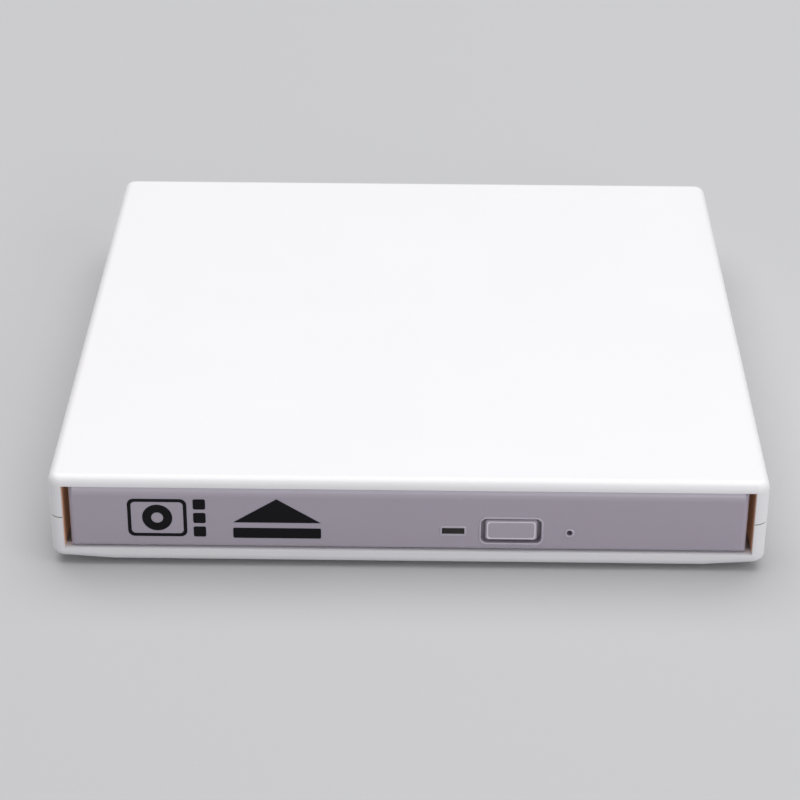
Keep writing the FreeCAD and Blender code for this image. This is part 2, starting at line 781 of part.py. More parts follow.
def flat_cable():
    """The ribbon: a lower run on the base, a fold, and an upper run under the tray's bottom cover."""
    piece = Piece("flat_cable", z=drive_level)
    outer = (bottom_cover_level - cable_floor) / 2
    middle = cable_floor + outer
    inner = outer - cable_sheet
    piece.add("YZ", cable_left, cable_right, disc(cable_fold_y, middle, outer),
              disc(cable_fold_y, middle, inner))
    piece.cut("YZ", cable_left, cable_right,
              rect(cable_fold_y, cable_fold_y + outer + 1, cable_floor, bottom_cover_level))
    piece.add("YZ", cable_left, cable_right,
              rect(cable_fold_y, main_board_front - fit_gap, cable_floor, cable_floor + cable_sheet),
              rect(cable_fold_y, cable_tray_end, bottom_cover_level - cable_sheet, bottom_cover_level))


# The tray and what it carries

HALF_DIAGONAL = math.sqrt(0.5)
rod_half = size("rod_half", 19.5)
window_margin = size("window_margin", 4.5)
post_margin = size("post_margin", 4)
screw_offset = size("screw_offset", 8)
window_near = size("window_near", 20)
window_far = size("window_far", 54)
nose_half = size("nose_half", 12)
nose_far = size("nose_far", 64)
bottom_cover_level = size("bottom_cover_level", 2.8)
bottom_cover_right = size("bottom_cover_right", 30)
lane_half = size("lane_half", 3)
lane_top = size("lane_top", 6.2)
skirt_rear_gap = size("skirt_rear_gap", 1.5)
rib_front_gap = size("rib_front_gap", 2.5)
rib_length = size("rib_length", 110)
frame_level = size("frame_level", 3.7)
frame_sheet = size("frame_sheet", 0.6)
damper_radius = size("damper_radius", 2.6)
damper_height = size("damper_height", 1.8)
damper_bore = size("damper_bore", 1.0)
damper_screw = size("damper_screw", 0.9)
damper_head = size("damper_head", 1.9)
damper_head_height = size("damper_head_height", 0.5)
latch_x = size("latch_x", 46)
latch_y = size("latch_y", -50)
latch_pin = size("latch_pin", 1)
running_gap = size("running_gap", 0.05)
board_gap_left = size("board_gap_left", 3.6)
board_gap_right = size("board_gap_right", 33)

window_half = derived("window_half", rod_half + window_margin)
damper_x = derived("damper_x", window_half + post_margin)
frame_half = derived("frame_half", damper_x + post_margin)
screw_line = derived("screw_line", 0 - rod_half - screw_offset)
skirt_rear = derived("skirt_rear", notch_y - skirt_rear_gap)
skirt_inner = derived("skirt_inner", rib_inner - skirt_wall)
frame_top = derived("frame_top", frame_level + frame_sheet)
damper_top = derived("damper_top", frame_top + damper_height)
damper_places = [(-damper_x, 12), (damper_x, 12), (damper_x, -38)]


def from_spindle(x, y):
    """A place given in the mechanism's turned frame, in the tray's own frame."""
    return (x + y) * HALF_DIAGONAL, (y - x) * HALF_DIAGONAL + spindle_y


def tray():
    piece = Piece("tray", z=drive_level)
    right = notch_x - skirt_rear_gap - sheet_metal
    piece.add("XY", tray_level, tray_top,
              outline([(-tray_half, tray_front), (tray_half, tray_front), (tray_half, skirt_rear),
                       (right, skirt_rear), (right, tray_rear), (-tray_half, tray_rear)]))
    piece.cut("XY", recess_floor, tray_top, disc(0, spindle_y, disc_recess_radius))
    piece.add("XY", skirt_level, tray_level, rect(-rib_inner, rib_inner, tray_front, skirt_rear))
    piece.cut("XY", skirt_level, tray_level,
              rect(-skirt_inner, skirt_inner, tray_front + 1.5 * skirt_wall, skirt_rear - skirt_wall))
    for side in SIDES:
        piece.add("XY", rib_low, rib_top,
                  strip(side, rib_inner, rib_outer, tray_front + rib_front_gap,
                        tray_front + rib_front_gap + rib_length))
    window = [(-window_half, window_near), (window_half, window_near), (window_half, -window_far),
              (nose_half, -window_far), (nose_half, -nose_far), (-nose_half, -nose_far),
              (-nose_half, -window_far), (-window_half, -window_far)]
    motor_left = screw_line - motor_radius - slide_gap
    motor_room = [(motor_left, lead_rear - slide_gap), (-window_half, lead_rear - slide_gap),
                  (-window_half, lead_rear + motor_length + slide_gap),
                  (motor_left, lead_rear + motor_length + slide_gap)]
    for shape in (window, motor_room):
        piece.cut("XY", tray_level, recess_floor, outline([from_spindle(x, y) for x, y in shape]))
    piece.cut("XY", skirt_level, lane_top,
              rect(latch_post_x - lane_half, latch_post_x + lane_half, skirt_rear - 2 * skirt_wall,
                   skirt_rear))
    piece.cut("XY", skirt_level, tray_level,
              rect(board_gap_left, board_gap_right, tray_front, tray_front + 2 * skirt_wall))
    posts = [from_spindle(x, y) for x, y in damper_places]
    piece.add("XY", damper_top, tray_level, *discs(posts, damper_radius))
    piece.cut("XY", damper_top, tray_level, *discs(posts, damper_screw + running_gap))
    piece.add("XY", frame_level, tray_level, disc(latch_x, latch_y, latch_pin))


def tray_bottom_cover():
    piece = Piece("tray_bottom_cover", z=drive_level)
    piece.add("XY", bottom_cover_level, skirt_level,
              rect(-rib_inner + fit_gap, bottom_cover_right, tray_front + slide_gap, skirt_rear - fit_gap))
    piece.cut("XY", bottom_cover_level, skirt_level,
              rect(board_gap_left, bottom_cover_right + 1, tray_front, tray_front + tray_board_room))
    for x, y in ((-44, 30), (-4, 34), (12, 22)):
        piece.cut("XY", bottom_cover_level, skirt_level,
                  round_rect(x - slot_length, x + slot_length, y - slot_width, y + slot_width,
                             slot_width / 2))


tray_board_room = size("tray_board_room", 10)
slot_length = size("slot_length", 6)
slot_width = size("slot_width", 3)

button_left = size("button_left", 14)
button_right = size("button_right", 25.6)
button_low = size("button_low", 1.5)
button_high = size("button_high", 6.9)
button_recess = size("button_recess", 1.6)
button_corner = size("button_corner", 1.1)
button_side_gap = size("button_side_gap", 0.8)
button_low_gap = size("button_low_gap", 0.55)
button_top_gap = size("button_top_gap", 0.3)
button_cap = size("button_cap", 0.9)
cap_corner = size("cap_corner", 0.6)
button_travel = size("button_travel", 0.6)
stem_half_width = size("stem_half_width", 3.5)
stem_half_height = size("stem_half_height", 1.1)
stem_reach = size("stem_reach", 1)
led_left = size("led_left", 6.5)
led_right = size("led_right", 10.8)
led_low = size("led_low", 3.4)
led_high = size("led_high", 4.75)
pinhole_x = size("pinhole_x", 31)
pinhole_z = size("pinhole_z", 3.86)
pinhole_radius = size("pinhole_radius", 0.55)
bezel_edge = size("bezel_edge", 1.0)
tray_board_low = size("tray_board_low", 2.4)
tray_board_sheet = size("tray_board_sheet", 0.5)

button_x = derived("button_x", (button_left + button_right) / 2)
button_z = derived("button_z", (button_low + button_high) / 2)
bezel_top = derived("bezel_top", bezel_height - bezel_drop)


def front_bezel():
    piece = Piece("front_bezel", z=drive_level)
    half = bezel_width / 2
    piece.add("XZ", bezel_front, bezel_back, rect(-half, half, 0 - bezel_drop, bezel_top))
    piece.fillet(bezel_edge, at_depth(bezel_front))
    piece.cut("XZ", bezel_front, bezel_front + button_recess,
              round_rect(button_left, button_right, button_low, button_high, button_corner))
    gap = 2 * running_gap
    piece.cut("XZ", bezel_front, bezel_back,
              rect(button_x - stem_half_width - gap, button_x + stem_half_width + gap,
                   button_z - stem_half_height - gap, button_z + stem_half_height + gap))
    piece.cut("XZ", bezel_front, bezel_back, rect(led_left, led_right, led_low, led_high))
    piece.cut("XZ", bezel_front, bezel_back, disc(pinhole_x, pinhole_z, pinhole_radius))


def eject_button():
    piece = Piece("eject_button", z=drive_level)
    back = bezel_front + button_cap
    piece.add("XZ", bezel_front, back,
              round_rect(button_left + button_side_gap, button_right - button_side_gap,
                         button_low + button_low_gap, button_high - button_top_gap, cap_corner))
    piece.fillet(button_cap / 2, at_depth(bezel_front))
    piece.add("XZ", back, bezel_back + stem_reach,
              rect(button_x - stem_half_width, button_x + stem_half_width,
                   button_z - stem_half_height, button_z + stem_half_height))


def led_lens():
    piece = Piece("led_lens", z=drive_level)
    gap = running_gap
    piece.add("XZ", bezel_front + 0.15, bezel_back + 1.5,
              rect(led_left + gap, led_right - gap, led_low + gap, led_high - gap))


def tray_board():
    """The small board behind the bezel with its switch and lamp."""
    front = bezel_back + 0.4
    low = tray_board_low
    top = low + tray_board_sheet
    board = Piece("tray_board", z=drive_level)
    board.add("XY", low, top, rect(board_gap_left + 0.6, bottom_cover_right, front, front + 9))
    switch = Piece("eject_switch", z=drive_level)
    face = bezel_back + stem_reach + button_travel + running_gap
    switch.add("XZ", face, face + 1, rect(button_x - 1, button_x + 1, button_z - 0.7, button_z + 0.7))
    switch.add("XZ", face + 1, face + 4, rect(button_x - 3, button_x + 3, top, button_z + 1.6))
    lamp = Piece("status_led", z=drive_level)
    middle = (led_left + led_right) / 2
    back = bezel_back + 1.5 + fit_gap
    lamp.add("XZ", back, back + 1.6, rect(middle - 1.6, middle + 1.6, top, led_high + 0.4))


# The pickup mechanism, built about the spindle with the lens travelling towards -Y, then turned

spindle_radius = size("spindle_radius", 2)
rotor_radius = size("rotor_radius", 12.5)
rotor_low = size("rotor_low", 4.7)
rotor_top = size("rotor_top", 7.9)
platform_radius = size("platform_radius", 13)
disc_seat = size("disc_seat", 8.9)
pad_thickness = size("pad_thickness", 0.15)
pad_inner = size("pad_inner", 9.5)
hub_radius = size("hub_radius", 7.45)
hub_shoulder = size("hub_shoulder", 10.9)
hub_top = size("hub_top", 11.3)
ball_radius = size("ball_radius", 0.9)
ball_orbit = size("ball_orbit", 7)
rod_radius = size("rod_radius", 1.1)
rod_level = size("rod_level", 5.9)
rod_front = size("rod_front", -56)
rod_rear = size("rod_rear", 15)
lens_start = size("lens_start", -23)
sled_reach = size("sled_reach", 5)
arm_reach = size("arm_reach", 14)
arm_notch = size("arm_notch", 9.5)
sled_low = size("sled_low", 4.6)
sled_top = size("sled_top", 7.5)
sled_half = size("sled_half", 10)
arm_outside = size("arm_outside", 2.5)
arm_inside = size("arm_inside", 6)
holder_half = size("holder_half", 4)
holder_low = size("holder_low", 5.2)
holder_top = size("holder_top", 8)
lens_radius = size("lens_radius", 2.1)
lens_rise = size("lens_rise", 0.4)
lead_radius = size("lead_radius", 1.3)
lead_front = size("lead_front", -45)
lead_rear = size("lead_rear", -5)
lead_journal = size("lead_journal", 0.5)
motor_radius = size("motor_radius", 2.1)
motor_length = size("motor_length", 12)
bracket_thickness = size("bracket_thickness", 1.2)
sled_arm = derived("sled_arm", rod_half + arm_outside)
arm_inner = derived("arm_inner", rod_half - arm_inside)


def mechanism(label):
    return Piece(label, y=spindle_y, z=drive_level, turn=Term("-45", -45))


def mechanism_frame():
    piece = mechanism("mechanism_frame")
    piece.add("XY", frame_level, frame_top,
              outline([(-frame_half, 22), (frame_half - 10, 22), (frame_half, 12), (frame_half, -46),
                       (12, -66), (-10, -66), (-frame_half, -44)]))
    piece.cut("XY", frame_level, frame_top, rect(-sled_half, sled_half, rod_front, -platform_radius - 3))
    piece.cut("XY", frame_level, frame_top,
              *discs(damper_places, damper_screw + screw_clearance), disc(0, 0, spindle_radius + fit_gap))
    room = motor_radius + fit_gap
    piece.cut("XY", frame_level, frame_top,
              rect(screw_line - room, screw_line + room, lead_rear - fit_gap,
                   lead_rear + motor_length + fit_gap))
    for side in SIDES:
        middle = side * rod_half
        for near in (rod_front, rod_rear - bracket_thickness):
            piece.add("XZ", near, near + bracket_thickness,
                      rect(middle - 2, middle + 2, frame_level, rod_level + rod_radius + 0.5))
        piece.cut("XZ", rod_front, rod_rear, disc(middle, rod_level, rod_radius + running_gap))


def dampers():
    """Soft grommets between the mechanism frame and the posts of the tray."""
    piece = mechanism("dampers")
    for x, y in damper_places:
        piece.add("XY", frame_top, damper_top, disc(x, y, damper_radius), disc(x, y, damper_bore))


def damper_screws():
    piece = mechanism("damper_screws")
    piece.add("XY", frame_level - damper_head_height, frame_level, *discs(damper_places, damper_head))
    piece.add("XY", frame_level, tray_level - slide_gap, *discs(damper_places, damper_screw))


def spindle():
    """The motor's base with its shaft stub, and what turns on it."""
    base = mechanism("spindle_base")
    base.add("XY", frame_top, frame_top + 0.2, disc(0, 0, platform_radius))
    base.add("XY", frame_top, rotor_top - 1, disc(0, 0, spindle_radius))
    rotor = mechanism("rotor")
    rotor.add("XY", rotor_low, rotor_top, disc(0, 0, rotor_radius))
    rotor.chamfer(0.4, at_height(rotor_low))
    rotor.cut("XY", rotor_low, rotor_top - 0.8, disc(0, 0, spindle_radius + running_gap))
    hub = mechanism("turntable_hub")
    hub.add("XY", rotor_top, disc_seat, disc(0, 0, platform_radius))
    hub.add("XY", disc_seat, hub_shoulder, disc(0, 0, hub_radius))
    places = hub_slots()
    hub.cut("XY", disc_seat + 0.1, hub_shoulder, *discs(places, ball_radius + 0.1))
    hub.add("XY", hub_shoulder, hub_top, disc(0, 0, hub_radius))
    hub.chamfer(0.3, at_height(hub_top))
    hub.cut("XY", hub_top - 0.8, hub_top, disc(0, 0, spindle_radius))
    pad = mechanism("disc_pad")
    pad.add("XY", disc_seat, disc_seat + pad_thickness,
            disc(0, 0, platform_radius - 0.3), disc(0, 0, pad_inner))


def hub_slots():
    return [(ball_orbit * math.cos(math.radians(a)), ball_orbit * math.sin(math.radians(a)))
            for a in (90, 210, 330)]


def clamp_balls():
    """Three balls that hold the disc's centre hole."""
    balls = []
    for i, (x, y) in enumerate(hub_slots()):
        ball = doc.addObject("Part::Sphere", f"clamp_ball{i + 1}")
        ball.setExpression("Radius", ball_radius.text)
        level = disc_seat + 0.15 + ball_radius
        for axis, value in (("x", x), ("y", y), ("z", level)):
            ball.setExpression(f"Placement.Base.{axis}", value.text)
        balls.append(ball)
    group = doc.addObject("Part::Compound", "clamp_balls")
    group.Label = "clamp_balls"
    group.Links = balls
    for axis, value in (("Base.y", spindle_y), ("Base.z", drive_level), ("Rotation.Angle", term(-45))):
        group.setExpression(f"Placement.{axis}", value.text)
    pieces.append(group)


def guide_rods():
    for label, side in (("front_guide_rod", 1), ("rear_guide_rod", -1)):
        piece = mechanism(label)
        piece.add("XZ", rod_front - 0.4, rod_rear + 0.4, disc(side * rod_half, rod_level, rod_radius))


def feed_drive():
    """The feed motor, its screw and the bracket that carries the screw's far end."""
    room = motor_radius + fit_gap
    motor = mechanism("feed_motor")
    motor.add("XZ", lead_rear, lead_rear + motor_length, disc(screw_line, rod_level, motor_radius))
    motor.cut("XZ", lead_rear, lead_rear + 1, disc(screw_line, rod_level, lead_journal + running_gap))
    motor.chamfer(0.3, at_depth(lead_rear + motor_length))
    motor.add("XZ", lead_rear + 2, lead_rear + motor_length - 2,
              rect(screw_line - room - 2, screw_line + room + 2, frame_top, frame_top + 0.4))
    screw = mechanism("lead_screw")
    near = lead_front + slide_gap
    screw.add("XZ", near, lead_rear - slide_gap, disc(screw_line, rod_level, lead_radius))
    screw.add("XZ", lead_front - bracket_thickness / 2, lead_rear + 0.8,
              disc(screw_line, rod_level, lead_journal))
    bracket = mechanism("screw_bracket")
    bracket.add("XZ", lead_front - bracket_thickness, lead_front,
                rect(screw_line - 1.8, screw_line + 1.8, frame_top, rod_level + 1.6))
    bracket.cut("XZ", lead_front - bracket_thickness, lead_front,
                disc(screw_line, rod_level, lead_journal + running_gap))


def sled():
    """The carriage of the pickup, with arms that slide on both rods."""
    piece = mechanism("sled")
    y = lens_start
    piece.add("XY", sled_low, sled_top,
              outline([(-sled_half, y - sled_reach), (sled_half, y - sled_reach),
                       (sled_half, y + sled_reach), (sled_arm, y + sled_reach), (sled_arm, y + arm_reach), (arm_inner, y + arm_reach),
                       (arm_inner, y + arm_notch), (-arm_inner, y + arm_notch),
                       (-arm_inner, y + arm_reach), (-sled_arm, y + arm_reach),
                       (-sled_arm, y + sled_reach), (-sled_half, y + sled_reach)]))
    for side in SIDES:
        piece.cut("XZ", y + sled_reach, y + arm_reach,
                  disc(side * rod_half, rod_level, rod_radius + running_gap))
    piece.cut("XY", holder_low, sled_top,
              rect(-holder_half - 1, holder_half + 1, y - holder_half + 0.2, y + holder_half + 1))
    piece.chamfer(0.4, lambda edge: outer_at_height(sled_top, 9)(edge)
                  and edge.BoundBox.XLength > 5)
    cover = mechanism("lens_cover")
    cover.add("XY", sled_top, sled_top + 0.3,
              round_rect(1 - sled_half, sled_half - 1, y - 4.6, y + 9, 1))
    cover.cut("XY", sled_top, sled_top + 0.3,
              round_rect(-holder_half - 0.4, holder_half + 0.4, y - holder_half - 0.1,
                         y + holder_half + 0.4, 0.8))
    holder = mechanism("lens_holder")
    holder.add("XY", holder_low, holder_top,
               rect(-holder_half, holder_half, y - holder_half + 0.5, y + holder_half))
    holder.chamfer(0.4, at_height(holder_top))
    lens = mechanism("objective_lens")
    lens.add("XY", holder_top, holder_top + lens_rise, disc(0, y, lens_radius))
    lens.fillet(lens_rise * 0.9, at_height(holder_top + lens_rise))
    tooth = mechanism("feed_tooth")
    near = y + arm_reach + 1
    reach = screw_line + lead_radius + fit_gap
    tooth.add("XY", rod_level - 0.6, rod_level + 0.6, rect(reach, 1 - sled_arm, near, near + 2))
    tooth.add("XY", rod_level - 1, rod_level + 1,
              rect(-sled_arm, -rod_half - rod_radius - slide_gap, y + arm_reach, near + 2))


# The latch that holds the tray shut

latch_low = size("latch_low", 4.2)
latch_top = size("latch_top", 5.4)
plunger_y = size("plunger_y", -57.6)
plunger_level = size("plunger_level", 5)
plunger_radius = size("plunger_radius", 1)
solenoid_left = size("solenoid_left", 45.6)
solenoid_right = size("solenoid_right", 55.5)


def latch_lever():
    piece = Piece("latch_lever", z=drive_level)
    x, y = latch_x, latch_y
    piece.add("XY", latch_low, latch_top, disc(x, y, 2.4))
    piece.add("XY", latch_low, latch_top,
              outline([(x - 1.6, y), (x + 2, y), (x, y + 12.8), (x - 6.8, y + 12.8), (x - 6.8, y + 11),
                       (x - 2.8, y + 10.4)]))
    piece.add("XY", latch_low, latch_top,
              outline([(x - 2, y), (x - 3.8, y - 5.6), (x - 2, y - 5.6), (x + 1, y)]))
    piece.cut("XY", latch_low, latch_top, disc(x, y, latch_pin + running_gap))


def latch_spring():
    """Coils round the lever's pin."""
    piece = Piece("latch_spring", z=drive_level)
    for i in range(4):
        low = latch_top + 0.1 + i * 0.5
        piece.add("XY", low, low + 0.4, disc(latch_x, latch_y, latch_pin + 0.6),
                  disc(latch_x, latch_y, latch_pin + 0.15))


def solenoid():
    coil = Piece("solenoid", z=drive_level)
    low, high = plunger_level - 1.6, tray_level
    coil.add("XY", low, high, rect(solenoid_left, solenoid_right, plunger_y - 3.4, plunger_y + 3))
    coil.chamfer(0.4, at_height(low))
    coil.cut("YZ", solenoid_left, solenoid_left + 6, disc(plunger_y, plunger_level,
                                                         plunger_radius + running_gap))
    plunger = Piece("solenoid_plunger", z=drive_level)
    plunger.add("YZ", latch_x - 4.8, solenoid_left + 4, disc(plunger_y, plunger_level, plunger_radius))
    plunger.add("YZ", latch_x - 5.6, latch_x - 4.6, disc(plunger_y, plunger_level, plunger_radius + 0.6))


def build():
    top_shell()
    bottom_shell()
    feet()
    screws("case_screws", rear_places, rear_seat, screw_top)
    screws("drive_screws", drive_places, counterbore, drive_lift + drive_screw_rise)
    bridge_board()
    bridge_chip()
    bridge_components()
    connectors()
    usb_socket()
    dc_socket()
    drive_base()
    drive_cover()
    cover_screws()
    guides()
    rails()
    main_board()
    main_chips()
    latch_post()
    flat_cable()
    tray()
    tray_bottom_cover()
    front_bezel()
    eject_button()
    led_lens()
    tray_board()
    mechanism_frame()
    dampers()
    damper_screws()
    spindle()
    clamp_balls()
    guide_rods()
    feed_drive()
    sled()
    latch_lever()
    latch_spring()
    solenoid()
    doc.recompute()


def check():
    """Stops before anything is written if a feature failed or a cut removed nothing."""
    for item in doc.Objects:
        if "Invalid" in item.State or "Error" in item.State:
            raise RuntimeError(f"{item.Name} failed: {item.State}")
        if item.TypeId == "PartDesign::Pocket":
            if item.BaseFeature.Shape.Volume - item.Shape.Volume < NEAR / 2:
                raise RuntimeError(f"{item.Name} cuts nothing")
    for piece in pieces:
        if piece.Shape.isNull() or not piece.Shape.isValid():
            raise RuntimeError(f"{piece.Label} has no valid shape")


def export():
    os.makedirs("parts", exist_ok=True)
    for piece in pieces:
        piece.Shape.exportStep(f"parts/{piece.Label}.step")
    print(f"{len(pieces)} pieces")


build()
check()
export()
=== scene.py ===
import math

import bmesh
import bpy
from mathutils import Matrix, Vector


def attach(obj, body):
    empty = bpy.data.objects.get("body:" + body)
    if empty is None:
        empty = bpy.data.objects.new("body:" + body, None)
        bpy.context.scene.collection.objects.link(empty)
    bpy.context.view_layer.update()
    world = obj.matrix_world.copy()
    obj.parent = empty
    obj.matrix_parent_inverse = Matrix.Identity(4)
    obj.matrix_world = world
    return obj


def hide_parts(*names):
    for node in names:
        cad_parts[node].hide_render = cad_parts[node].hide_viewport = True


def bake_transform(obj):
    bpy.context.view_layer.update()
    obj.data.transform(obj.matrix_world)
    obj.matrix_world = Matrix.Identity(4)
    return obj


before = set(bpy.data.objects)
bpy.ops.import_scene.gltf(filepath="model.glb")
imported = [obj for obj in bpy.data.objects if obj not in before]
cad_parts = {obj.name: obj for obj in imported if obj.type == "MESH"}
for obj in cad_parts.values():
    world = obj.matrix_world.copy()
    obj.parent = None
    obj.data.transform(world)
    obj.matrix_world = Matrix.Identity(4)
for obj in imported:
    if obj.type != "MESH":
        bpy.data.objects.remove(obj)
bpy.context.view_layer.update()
MM = 0.001


# Camera, at the place worked out from the case's outline in the photograph

CAMERA_PLACE = Vector((2.97, -466.77, 261.35)) * MM
CAMERA_TURN = math.radians(-0.664)
CAMERA_DIP = math.radians(29.381)
CAMERA_ROLL = math.radians(0.259)
FOCAL_PIXELS = 2452.9
FRAME_PIXELS = 800
SENSOR = 36


def make_camera():
    data = bpy.data.cameras.new("camera")
    data.sensor_width = SENSOR
    data.lens = FOCAL_PIXELS / FRAME_PIXELS * SENSOR
    data.clip_start = 0.01
    camera = bpy.data.objects.new("camera", data)
    bpy.context.scene.collection.objects.link(camera)
    ahead = Vector((math.sin(CAMERA_TURN) * math.cos(CAMERA_DIP),
                    math.cos(CAMERA_TURN) * math.cos(CAMERA_DIP), -math.sin(CAMERA_DIP)))
    right = Vector((math.cos(CAMERA_TURN), -math.sin(CAMERA_TURN), 0))
    up = right.cross(ahead)
    right_rolled = math.cos(CAMERA_ROLL) * right + math.sin(CAMERA_ROLL) * up
    up_rolled = math.cos(CAMERA_ROLL) * up - math.sin(CAMERA_ROLL) * right
    turn = Matrix((right_rolled, up_rolled, -ahead)).transposed().to_4x4()
    camera.matrix_world = Matrix.Translation(CAMERA_PLACE) @ turn
    bpy.context.scene.camera = camera


# Node helpers for the materials


class Nodes:
    """A material under construction, with short calls for the nodes it uses."""

    def __init__(self, name):
        self.material = bpy.data.materials.new(name)
        self.material.use_nodes = True
        self.tree = self.material.node_tree
        self.shader = self.tree.nodes["Principled BSDF"]
        self.place = self.tree.nodes.new("ShaderNodeTexCoord").outputs["Object"]

    def link(self, output, target):
        self.tree.links.new(output, target)

    def node(self, kind, **values):
        made = self.tree.nodes.new(kind)
        for key, value in values.items():
            if key in made.inputs:
                made.inputs[key].default_value = value
            else:
                setattr(made, key.lower(), value)
        return made

    def mapped(self, scale=(1, 1, 1), turn=(0, 0, 0)):
        mapping = self.node("ShaderNodeMapping")
        mapping.inputs["Scale"].default_value = scale
        mapping.inputs["Rotation"].default_value = turn
        self.link(self.place, mapping.inputs["Vector"])
        return mapping.outputs["Vector"]

    def noise(self, scale, detail=3, stretch=(1, 1, 1)):
        made = self.node("ShaderNodeTexNoise", Scale=scale, Detail=detail)
        self.link(self.mapped(stretch), made.inputs["Vector"])
        return made.outputs["Fac"]

    def ramp(self, source, stops):
        made = self.tree.nodes.new("ShaderNodeValToRGB")
        ramp = made.color_ramp
        while len(ramp.elements) < len(stops):
            ramp.elements.new(0.5)
        for element, (position, colour) in zip(ramp.elements, stops):
            element.position = position
            element.color = (*colour, 1)
        self.link(source, made.inputs["Fac"])
        return made.outputs["Color"]

    def spread(self, source, low, high, start=0.3, end=0.7):
        made = self.tree.nodes.new("ShaderNodeMapRange")
        for key, value in (("From Min", start), ("From Max", end), ("To Min", low), ("To Max", high)):
            made.inputs[key].default_value = value
        self.link(source, made.inputs["Value"])
        return made.outputs["Result"]

    def bump(self, height, strength, distance, below=None):
        made = self.node("ShaderNodeBump", Strength=strength, Distance=distance)
        self.link(height, made.inputs["Height"])
        if below is not None:
            self.link(below, made.inputs["Normal"])
        self.link(made.outputs["Normal"], self.shader.inputs["Normal"])
        return made.outputs["Normal"]


def shade(colour, factor):
    return tuple(min(1.0, part * factor) for part in colour)


def varied(nodes, colour, scale, amount):
    """The base colour with a soft cloudy variation."""
    stops = [(0.3, shade(colour, 1 - amount)), (0.7, shade(colour, 1 + amount))]
    ramp = nodes.ramp(nodes.noise(scale), stops)
    nodes.link(ramp, nodes.shader.inputs["Base Color"])


def plastic(name, colour, rough, grain, depth, amount, coat=0.0, through=0.0):
    """Moulded plastic: fine grain, faint flow clouds and uneven gloss."""
    n = Nodes(name)
    varied(n, colour, 60, amount)
    n.link(n.spread(n.noise(220, 4), rough * 0.95, rough * 1.06), n.shader.inputs["Roughness"])
    wave = n.bump(n.noise(45, 2), 0.05, 0.0001)
    n.bump(n.noise(grain, 4), 0.25, depth, wave)
    n.shader.inputs["IOR"].default_value = 1.5
    n.shader.inputs["Coat Weight"].default_value = coat
    n.shader.inputs["Coat Roughness"].default_value = 0.12
    if through:
        n.shader.inputs["Subsurface Weight"].default_value = through
        n.shader.inputs["Subsurface Radius"].default_value = (1.0, 0.85, 0.7)
        n.shader.inputs["Subsurface Scale"].default_value = 0.0012
    return n.material


def smooth_plastic(name, colour, rough, ior=1.5):
    """Semi-gloss moulding: faint clouds of colour, slow waves in the face, hardly varying gloss."""
    n = Nodes(name)
    varied(n, colour, 40, 0.004)
    n.link(n.spread(n.noise(60, 2), rough * 0.94, rough * 1.06), n.shader.inputs["Roughness"])
    n.bump(n.noise(30, 1), 0.05, 0.0001)
    n.shader.inputs["IOR"].default_value = ior
    return n.material


def metal(name, colour, rough=0.3, stretch=(1, 40, 1), scale=900, depth=0.000006, spots=0.03):
    """Rolled, drawn or turned metal, with its grain along one axis."""
    n = Nodes(name)
    grain = n.noise(scale, 3, stretch)
    n.link(n.ramp(grain, [(0.25, shade(colour, 1 - spots * 3)), (0.75, shade(colour, 1 + spots))]),
           n.shader.inputs["Base Color"])
    n.shader.inputs["Metallic"].default_value = 1
    n.link(n.spread(n.noise(160, 4), rough * 0.75, rough * 1.3), n.shader.inputs["Roughness"])
    n.bump(grain, 0.35, depth)
    return n.material


def spangled_steel(name, colour, rough=0.34):
    """Galvanised sheet with faint crystal patches."""
    n = Nodes(name)
    cells = n.node("ShaderNodeTexVoronoi", Scale=520)
    n.link(n.mapped((1, 1, 1)), cells.inputs["Vector"])
    split = n.tree.nodes.new("ShaderNodeSeparateColor")
    n.link(cells.outputs["Color"], split.inputs["Color"])
    patch = split.outputs["Red"]
    n.link(n.ramp(patch, [(0.0, shade(colour, 0.965)), (1.0, shade(colour, 1.035))]),
           n.shader.inputs["Base Color"])
    n.shader.inputs["Metallic"].default_value = 1
    n.link(n.spread(patch, rough * 0.93, rough * 1.08, 0, 1), n.shader.inputs["Roughness"])
    grain = n.bump(n.noise(1500, 3, (1, 12, 1)), 0.2, 0.000006)
    n.bump(n.noise(120, 2), 0.15, 0.00005, grain)
    return n.material


def circuit_board(name, colour, pitch=900):
    """Solder mask over copper tracks, with pads and small holes."""
    n = Nodes(name)
    tracks = n.node("ShaderNodeTexBrick", Scale=pitch * 0.35)
    tracks.inputs["Color1"].default_value = (1, 1, 1, 1)
    tracks.inputs["Color2"].default_value = (0.75, 0.75, 0.75, 1)
    tracks.inputs["Mortar"].default_value = (0, 0, 0, 1)
    tracks.inputs["Mortar Size"].default_value = 0.06
    n.link(n.mapped((1, 1, 1), (0, 0, math.radians(45))), tracks.inputs["Vector"])
    line = n.tree.nodes.new("ShaderNodeRGBToBW")
    n.link(tracks.outputs["Color"], line.inputs["Color"])
    copper = n.spread(line.outputs["Val"], 0, 1, 0.0, 1.0)
    mask = n.ramp(copper, [(0.0, shade(colour, 0.62)), (0.9, shade(colour, 1.35))])
    holes = n.node("ShaderNodeTexVoronoi", Scale=330)
    n.link(n.mapped(), holes.inputs["Vector"])
    dots = n.spread(holes.outputs["Distance"], 1, 0, 0.10, 0.14)
    mix = n.tree.nodes.new("ShaderNodeMix")
    mix.data_type = "RGBA"
    mix.inputs["B"].default_value = (0.62, 0.50, 0.26, 1)
    n.link(dots, mix.inputs["Factor"])
    n.link(mask, mix.inputs["A"])
    n.link(mix.outputs["Result"], n.shader.inputs["Base Color"])
    n.link(n.spread(n.noise(500), 0.22, 0.4), n.shader.inputs["Roughness"])
    n.bump(copper, 0.5, 0.00003)
    return n.material


